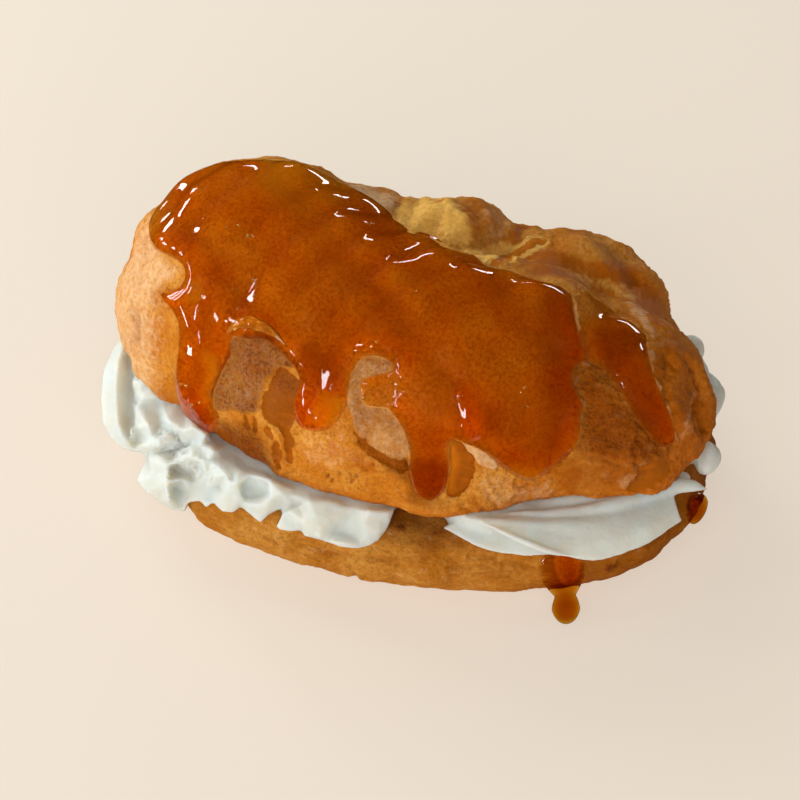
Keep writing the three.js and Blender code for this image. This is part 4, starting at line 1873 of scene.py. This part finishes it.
@dataclass
class Cream:
    """Whipped cream: a slab through the bun and strokes piped or smeared along its border."""

    slab_share: float = 0.88
    slab_columns: int = 160
    recess: Point = (-1.33, 0.2, 0.3)
    slab_heights: Spot = (17.0, 21.6)
    voxel: float = 0.4
    rounds: int = 1
    lumps: Swell = Swell(0.2, 6.0, 2)
    crest: Swell = Swell(1.0, 4.5, 2)
    crest_level: float = 0.5
    fleck: Swell = Swell(1.0, 1.7, 2)
    fleck_level: float = 0.4
    fleck_shift: float = 30.0
    fleck_height: float = 0.1
    torn_heights: Spot = (0.6, 1.1)
    torn_rim: Spot = (-1.0, 2.0)
    torn_facing: Spot = (0.0, 0.2)
    strokes: tuple[Rope | Tear | Scoop, ...] = (
        Rope(((-38, 20, 19), (-46, 12, 18.5), (-49, 0, 18), (-46, -11, 17), (-40, -17.5, 16.5),
            (-32, -23, 17), (-23, -27, 18), (-14, -29.5, 18.5)), (4, 4.5, 4, 3.8, 3.6, 3.2, 3,
            2.6)),
        Tear(((124, 334, 20.5), (112, 350, 19), (104, 370, 17.8), (101, 400, 17), (103, 420, 16.5),
            (110, 437, 16), (122, 448, 15.8), (134, 452, 15.8), (141, 452, 16.2), (147, 460, 15.4),
            (137, 480, 13.2), (147, 492, 12.4), (160, 503, 11.4), (172, 510, 10.6),
            (184, 511, 10.6), (187, 503, 13), (200, 501, 14.4), (206, 508, 13.8), (213, 502, 15.2),
            (222, 512, 15.4), (233, 512, 15.8), (240, 506, 16.8), (260, 522, 15.8), (268, 515, 17),
            (290, 505, 19.4), (300, 494, 21), (296, 486, 20.8), (258, 466, 20.8), (232, 444, 20.8),
            (212, 422, 20.8), (196, 402, 20.8), (178, 382, 20.8), (158, 360, 20.5), (140, 343, 20)),
            ((121, 352, 21.2), (117, 372, 20.7), (116, 400, 20.2), (118, 425, 19.3),
            (128, 443, 17.9), (118, 362, 21), (116, 386, 20.5), (117, 412, 19.8), (122, 435, 18.7),
            (130, 365, 19.6), (131, 388, 18.8), (130, 412, 18), (130, 434, 17.2), (110, 372, 19.3),
            (108, 400, 18.5), (110, 424, 17.9), (129, 356, 20), (131, 375, 19.2), (131, 400, 18.4),
            (129, 425, 17.6), (134, 442, 16.8), (136, 370, 22.1), (134, 382, 21.6), (138, 394, 21),
            (146, 362, 22.4), (142, 380, 22.7), (150, 374, 22), (152, 386, 22.6), (168, 386, 22.8),
            (158, 370, 22.2), (142, 398.5, 21.3), (160, 396, 22.4), (178, 393, 23.3),
            (140, 404, 20), (160, 402, 21), (181, 400, 22), (135, 408, 19.9), (134, 427, 18.7),
            (160, 418, 20.4), (186, 414, 22), (131, 433, 19.8), (148, 425, 21), (166, 420, 22),
            (190, 418, 23), (140, 446, 17.8), (152, 436, 19.6), (168, 429, 20.6), (155, 444, 19.7),
            (161, 451, 17.6), (171, 440, 20.9), (176, 451, 18.4), (184, 431, 22.6),
            (185, 446, 19.9), (192, 456, 21.2), (196, 467, 18.7), (204, 462, 21.4),
            (208, 475, 19.5), (180, 460, 19.8), (150, 452, 17.4), (178, 435, 20.8),
            (192, 441, 21.4), (149, 459, 17.6), (161, 456, 18.7), (168, 465, 18.9), (167, 482, 17),
            (168, 500, 14.2), (172, 508, 12), (152, 476, 15.7), (174, 470, 16), (175, 490, 13),
            (181, 463, 19), (183, 479, 17), (180, 505, 11.4), (194, 484, 16.4), (200, 494, 15.6),
            (190, 494, 14.6), (206, 487, 17), (188, 474, 16.8), (194, 427, 23.7), (206, 436, 23.7),
            (214, 452, 23.3), (221, 470, 22), (217, 475, 21), (208, 459, 21.7), (200, 444, 22.4),
            (211, 436, 22), (222, 454, 21.9), (236, 468, 22), (226, 476, 21.8), (231, 479, 21.2),
            (228, 482, 21.4), (238, 481, 21.8), (239, 494, 19.6), (234, 508, 17), (225, 510, 16.2),
            (226, 494, 18.8), (219, 487, 17.8), (213, 494, 16.4), (243, 486, 19.4), (246, 495, 18),
            (262, 489, 19.4), (252, 497, 18.6), (244, 503, 18), (256, 505, 18.8), (261, 518, 16.8),
            (271, 497, 20.8), (267, 508, 19), (282, 493, 21.9), (282, 502, 20), (250, 475, 22),
            (270, 481, 22.5), (287, 488, 22))),
        Tear(((276, 527, 16.4), (283, 512, 18.8), (300, 505, 20.4), (306, 498, 21.4),
            (306, 488, 20.8), (330, 492, 20.8), (345, 496, 20.8), (370, 500, 20.8),
            (396, 506, 20.6), (393, 513, 20.6), (387, 528, 18.2), (378, 541, 16.4),
            (370, 546, 15.8), (358, 549, 15.4), (340, 547, 15.6), (325, 542, 15.6),
            (312, 537, 15.8), (305, 536, 15.8), (301, 530, 16.2), (290, 531, 15.9),
            (280, 530, 15.8)), ((290, 512, 19.3), (290, 521, 17.8), (304, 523, 19),
            (316, 516, 20.6), (308, 510, 20.8), (320, 530, 18.4), (334, 518, 20.2),
            (337, 532, 16.8), (348, 521, 19.2), (352, 536, 16.6), (364, 522, 20), (368, 534, 18.2),
            (380, 519, 20.4), (379, 531, 18.8), (318, 537, 17.2), (332, 542, 16.8),
            (345, 544, 16.8), (360, 543, 16.4), (308, 501, 22), (330, 503, 22.1), (346, 508, 21.6),
            (358, 509, 21.4), (370, 512, 22), (389, 513, 21.4)), 1.5),
        Scoop((seen_at((460, 519, 19.6), (500, 522, 19), (540, 530, 17.8), (584, 540, 16.4)),
            seen_at((452, 524, 19), (490, 532, 18.6), (526, 541, 17.8), (570, 549, 16.6)),
            seen_at((443, 528, 18.6), (480, 547, 17.5), (518, 555, 16.6), (556, 555, 16.2)))),
        Scoop((seen_at((475, 513, 19.8), (510, 510, 19.8), (550, 507, 19.6), (595, 502, 19.4),
            (640, 493, 19.2), (672, 484, 18.8)), seen_at((476, 518, 21.8), (510, 519, 22.6),
            (550, 520, 22.6), (597, 516, 22.2), (640, 505, 21.6), (673, 493, 20.8)),
            seen_at((477, 520, 21.8), (516, 527, 22.2), (558, 536, 21), (606, 538, 20.1),
            (650, 526, 19.8), (678, 508, 19.8)), seen_at((478, 522, 21.8), (512, 537, 21.4),
            (548, 551, 19.6), (594, 560, 16.8), (640, 547, 16.6), (682, 521, 17.2)))),
        Rope(seen_at((478, 520.5, 22.2), (512, 536.5, 21.8), (548, 551, 20), (580, 558, 17.8)),
            (0.3, 0.55, 0.55, 0.3)),
        Rope(seen_at((490, 515, 21.2), (530, 514, 22), (570, 512, 22.2), (608, 506, 22.2),
            (645, 495, 21.8), (675, 486, 21.2), (694, 486, 20.2), (709, 490, 18.6)), (0.7, 1.0, 1.2,
            1.5, 1.8, 1.9, 1.7, 0.6), 0.9),
        Rope(seen_at((520, 510, 20), (600, 502, 20), (660, 486, 19.6), (690, 476, 19)), (3, 3.6, 3,
            2.4)),
        Rope(seen_at((683, 358, 18), (690, 350, 19.5), (697, 344, 19)), (2.6, 3.2, 2.6)),
        Rope(seen_at((702, 374, 18), (710, 394, 18.5), (706, 424, 18)), (2.4, 3.0, 2.4), 1.0, 5,
            0.15),
        Rope(seen_at((692, 446, 18.5), (706, 456, 18.5), (704, 474, 18)), (2.2, 3.0, 2.4), 1.0, 5,
            0.15),
        Rope(((52, -4, 19), (54.5, 3, 19.5), (53, 10, 19), (53.5, 17, 19.5), (49, 26, 20),
            (40, 31, 19)), (5, 5.6, 5, 5.8, 5.6, 5), 1.0, 6, 0.2),
        Rope(((44, 31, 19), (30, 37, 19.5), (14, 39, 19), (-4, 40, 19.5), (-22, 37, 19),
            (-42, 24, 19)), (5, 6.2, 5.4, 6.4, 5.6, 6.4), 1.0, 6, 0.2),
    )
    torn: Patch = Patch((
        (154, 430), (172, 426), (186, 432), (198, 452), (222, 474), (226, 490), (206, 486),
        (186, 466), (160, 456), (148, 444)))
    grain: Grain = field(default_factory=lambda: Grain(41))

    def slab(self, base: Base) -> Body:
        """The layer between base and lid.

        Args:
            base: The base that it lies on.

        Returns:
            Its points and faces.
        """
        flat = base.outline(turns(self.slab_columns))
        angle, spread, share = self.recess
        away = (np.arctan2(flat[:, 1], flat[:, 0]) - angle) / spread
        flat = flat * (self.slab_share - share * bell(away))[:, None]
        flat[:, 0] += base.centre_x
        low, high = self.slab_heights
        rings = [np.column_stack([flat, np.full(len(flat), z)]) for z in (high, low)]
        ends = np.array([[base.centre_x, 0, high], [base.centre_x, 0, low]])
        return np.vstack([ends[:1], *rings, ends[1:]]), wrap_faces(len(flat), len(rings))

    def build(self, base: Base) -> bpy.types.Object:
        """Makes the cream.

        Args:
            base: The base that it lies on.

        Returns:
            The cream's object.
        """
        parts = [self.slab(base)] + [stroke.build() for stroke in self.strokes]
        piece = make_object("whipped_cream", *join(parts))
        points = remesh(piece, self.voxel)
        points = soften(piece.data, points, self.rounds)
        normals = vectors_of(piece.data.vertex_normals, "vector")
        rough = step(self.torn.inside(SHOT.project(points)), *self.torn_rim)
        rough = rough * step(normals @ SHOT.back, *self.torn_facing)
        crest = self.crest_level - np.abs(self.crest.at(self.grain, points))
        fleck = np.abs(self.fleck.at(self.grain, points, self.fleck_shift))
        fleck = self.fleck_level - fleck
        height = self.lumps.at(self.grain, points) + self.fleck_height * fleck
        height += rough * (self.torn_heights[0] * crest + self.torn_heights[1] * fleck)
        move_points(piece.data, points + normals * height[:, None])
        return piece


@dataclass(frozen=True)
class Run:
    """Caramel that has run down the base's wall and set in a drop."""

    name: str
    node: str
    stroke: Rope

    def build(self) -> bpy.types.Object:
        """Makes the run."""
        return make_object(self.name, *self.stroke.build())


RUNS = (
    Run("front_drip", "caramel_run_front",
        Rope(((38.4, -26.8, 17.2), (38.8, -28.8, 13.6), (39.6, -29.9, 10.4), (40.2, -30.4, 7.0),
              (40.6, -30.9, 3.6), (41, -31.5, 0.5)),
             (5.4, 5.2, 3.9, 2.0, 3.4, 3.6), (0.22, 0.24, 0.3, 0.7, 0.85, 0.8),
             facing=(0.35, -0.94, 0.0), spacing=0.3)),
    Run("side_drip", "caramel_run_side",
        Rope(((59.6, -5, 14.5), (60.6, -5.4, 11.5), (60.8, -5.6, 8.5)), (3.2, 3.6, 2.8), 0.45,
             facing=(0.97, -0.25, 0.0), spacing=0.3)),
)


@dataclass(frozen=True)
class Lamp:
    """A soft rectangular light."""

    name: str
    place: Point
    size: Spot
    power: float
    colour: Point = (1.0, 1.0, 1.0)
    mirrored: bool = True
    aim: Point = (0.0, 0.0, 25.0)

    def build(self) -> None:
        """Hangs the light and points it at the bun."""
        data = bpy.data.lights.new(self.name, "AREA")
        data.shape = "RECTANGLE"
        data.size, data.size_y = (s * MM for s in self.size)
        data.energy = self.power
        data.color = self.colour
        lamp = bpy.data.objects.new(self.name, data)
        lamp.location = Vector(self.place) * MM
        ahead = Vector(self.aim) - Vector(self.place)
        lamp.rotation_euler = ahead.to_track_quat("-Z", "Y").to_euler()
        lamp.visible_glossy = self.mirrored
        bpy.context.scene.collection.objects.link(lamp)


@dataclass
class Studio:
    """Pale floor and soft light."""

    floor_half: float = 3000.0
    floor_tone: Colour = tone(160, 150, 138)
    floor_light: Colour = tone(242, 229, 213)
    floor_glow: float = 0.62
    floor_roughness: float = 0.9
    room_tone: Colour = (1.0, 0.97, 0.93, 1.0)
    room_glow: float = 0.1
    lamps: tuple[Lamp, ...] = (
        Lamp("window_near", (-340, -590, 150), (44, 120), 0.6, COOL),
        Lamp("window_front", (-620, -400, 200), (120, 150), 1.0, COOL),
        Lamp("window_middle", (-700, -130, 200), (120, 150), 1.0, COOL),
        Lamp("window_rear", (-700, 130, 200), (120, 150), 1.0, COOL),
        Lamp("window_far", (-600, 400, 200), (120, 150), 1.0, COOL),
        Lamp("rear_window", (200, 900, 90), (300, 80), 0.8),
        Lamp("rear_sky", (-260, 870, 420), (220, 60), 0.55, COOL),
        Lamp("left_sky", (-600, 450, 580), (560, 460), 3.1, COOL, False),
        Lamp("front_fill", (150, -885, 560), (1000, 800), 8.4, WARM, False),
    )

    def build(self) -> None:
        """Makes the floor, the lights and the room's glow."""
        half = self.floor_half
        corners = np.array([[-half, -half, 0], [half, -half, 0], [half, half, 0], [-half, half, 0]])
        floor = make_object("floor", corners, [[0, 1, 2, 3]])
        tree = Tree("pale_floor")
        tree.set(Base_Color=self.floor_tone, Roughness=self.floor_roughness,
                 Emission_Color=self.floor_light, Emission_Strength=self.floor_glow)
        floor.data.materials.append(tree.material)
        floor.visible_glossy = False
        for lamp in self.lamps:
            lamp.build()
        world = bpy.data.worlds.new("room")
        world.use_nodes = True
        glow = world.node_tree.nodes["Background"]
        glow.inputs["Color"].default_value = self.room_tone
        glow.inputs["Strength"].default_value = self.room_glow
        bpy.context.scene.world = world
        world.cycles_visibility.glossy = False
        bpy.context.scene.view_settings.view_transform = "Standard"


def main() -> None:
    """Builds the bun, the studio and the camera."""
    logging.basicConfig(level=logging.INFO, format="%(message)s")
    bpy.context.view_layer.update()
    lid, coat, base = Lid(), Coat(), Base()
    lid.prepare()
    coat.prepare(lid)
    hand_in(lid.build(coat), Slot.LID, CrustFinish("choux_crust").make(), "lid")
    caramel = CaramelFinish("clear_caramel").make()
    hand_in(coat.build(lid), Slot.COAT, caramel, "caramel_coat")
    foot = CrustFinish("choux_foot", skin=tone(198, 137, 58), tan=tone(176, 109, 30),
                       toasted=tone(166, 95, 18))
    hand_in(base.build(), Slot.BASE, foot.make(), "base")
    hand_in(Cream().build(base), Slot.CREAM, CreamFinish("soft_cream").make(), "cream")
    drip = CaramelFinish("dark_caramel", (0.88, 0.69, 0.04, 1.0), 1700.0, 1.04, 1.0).make()
    for run in RUNS:
        hand_in(run.build(), Slot.RUN, drip, run.node)
    Studio().build()
    SHOT.place()


if __name__ == "__main__":
    main()
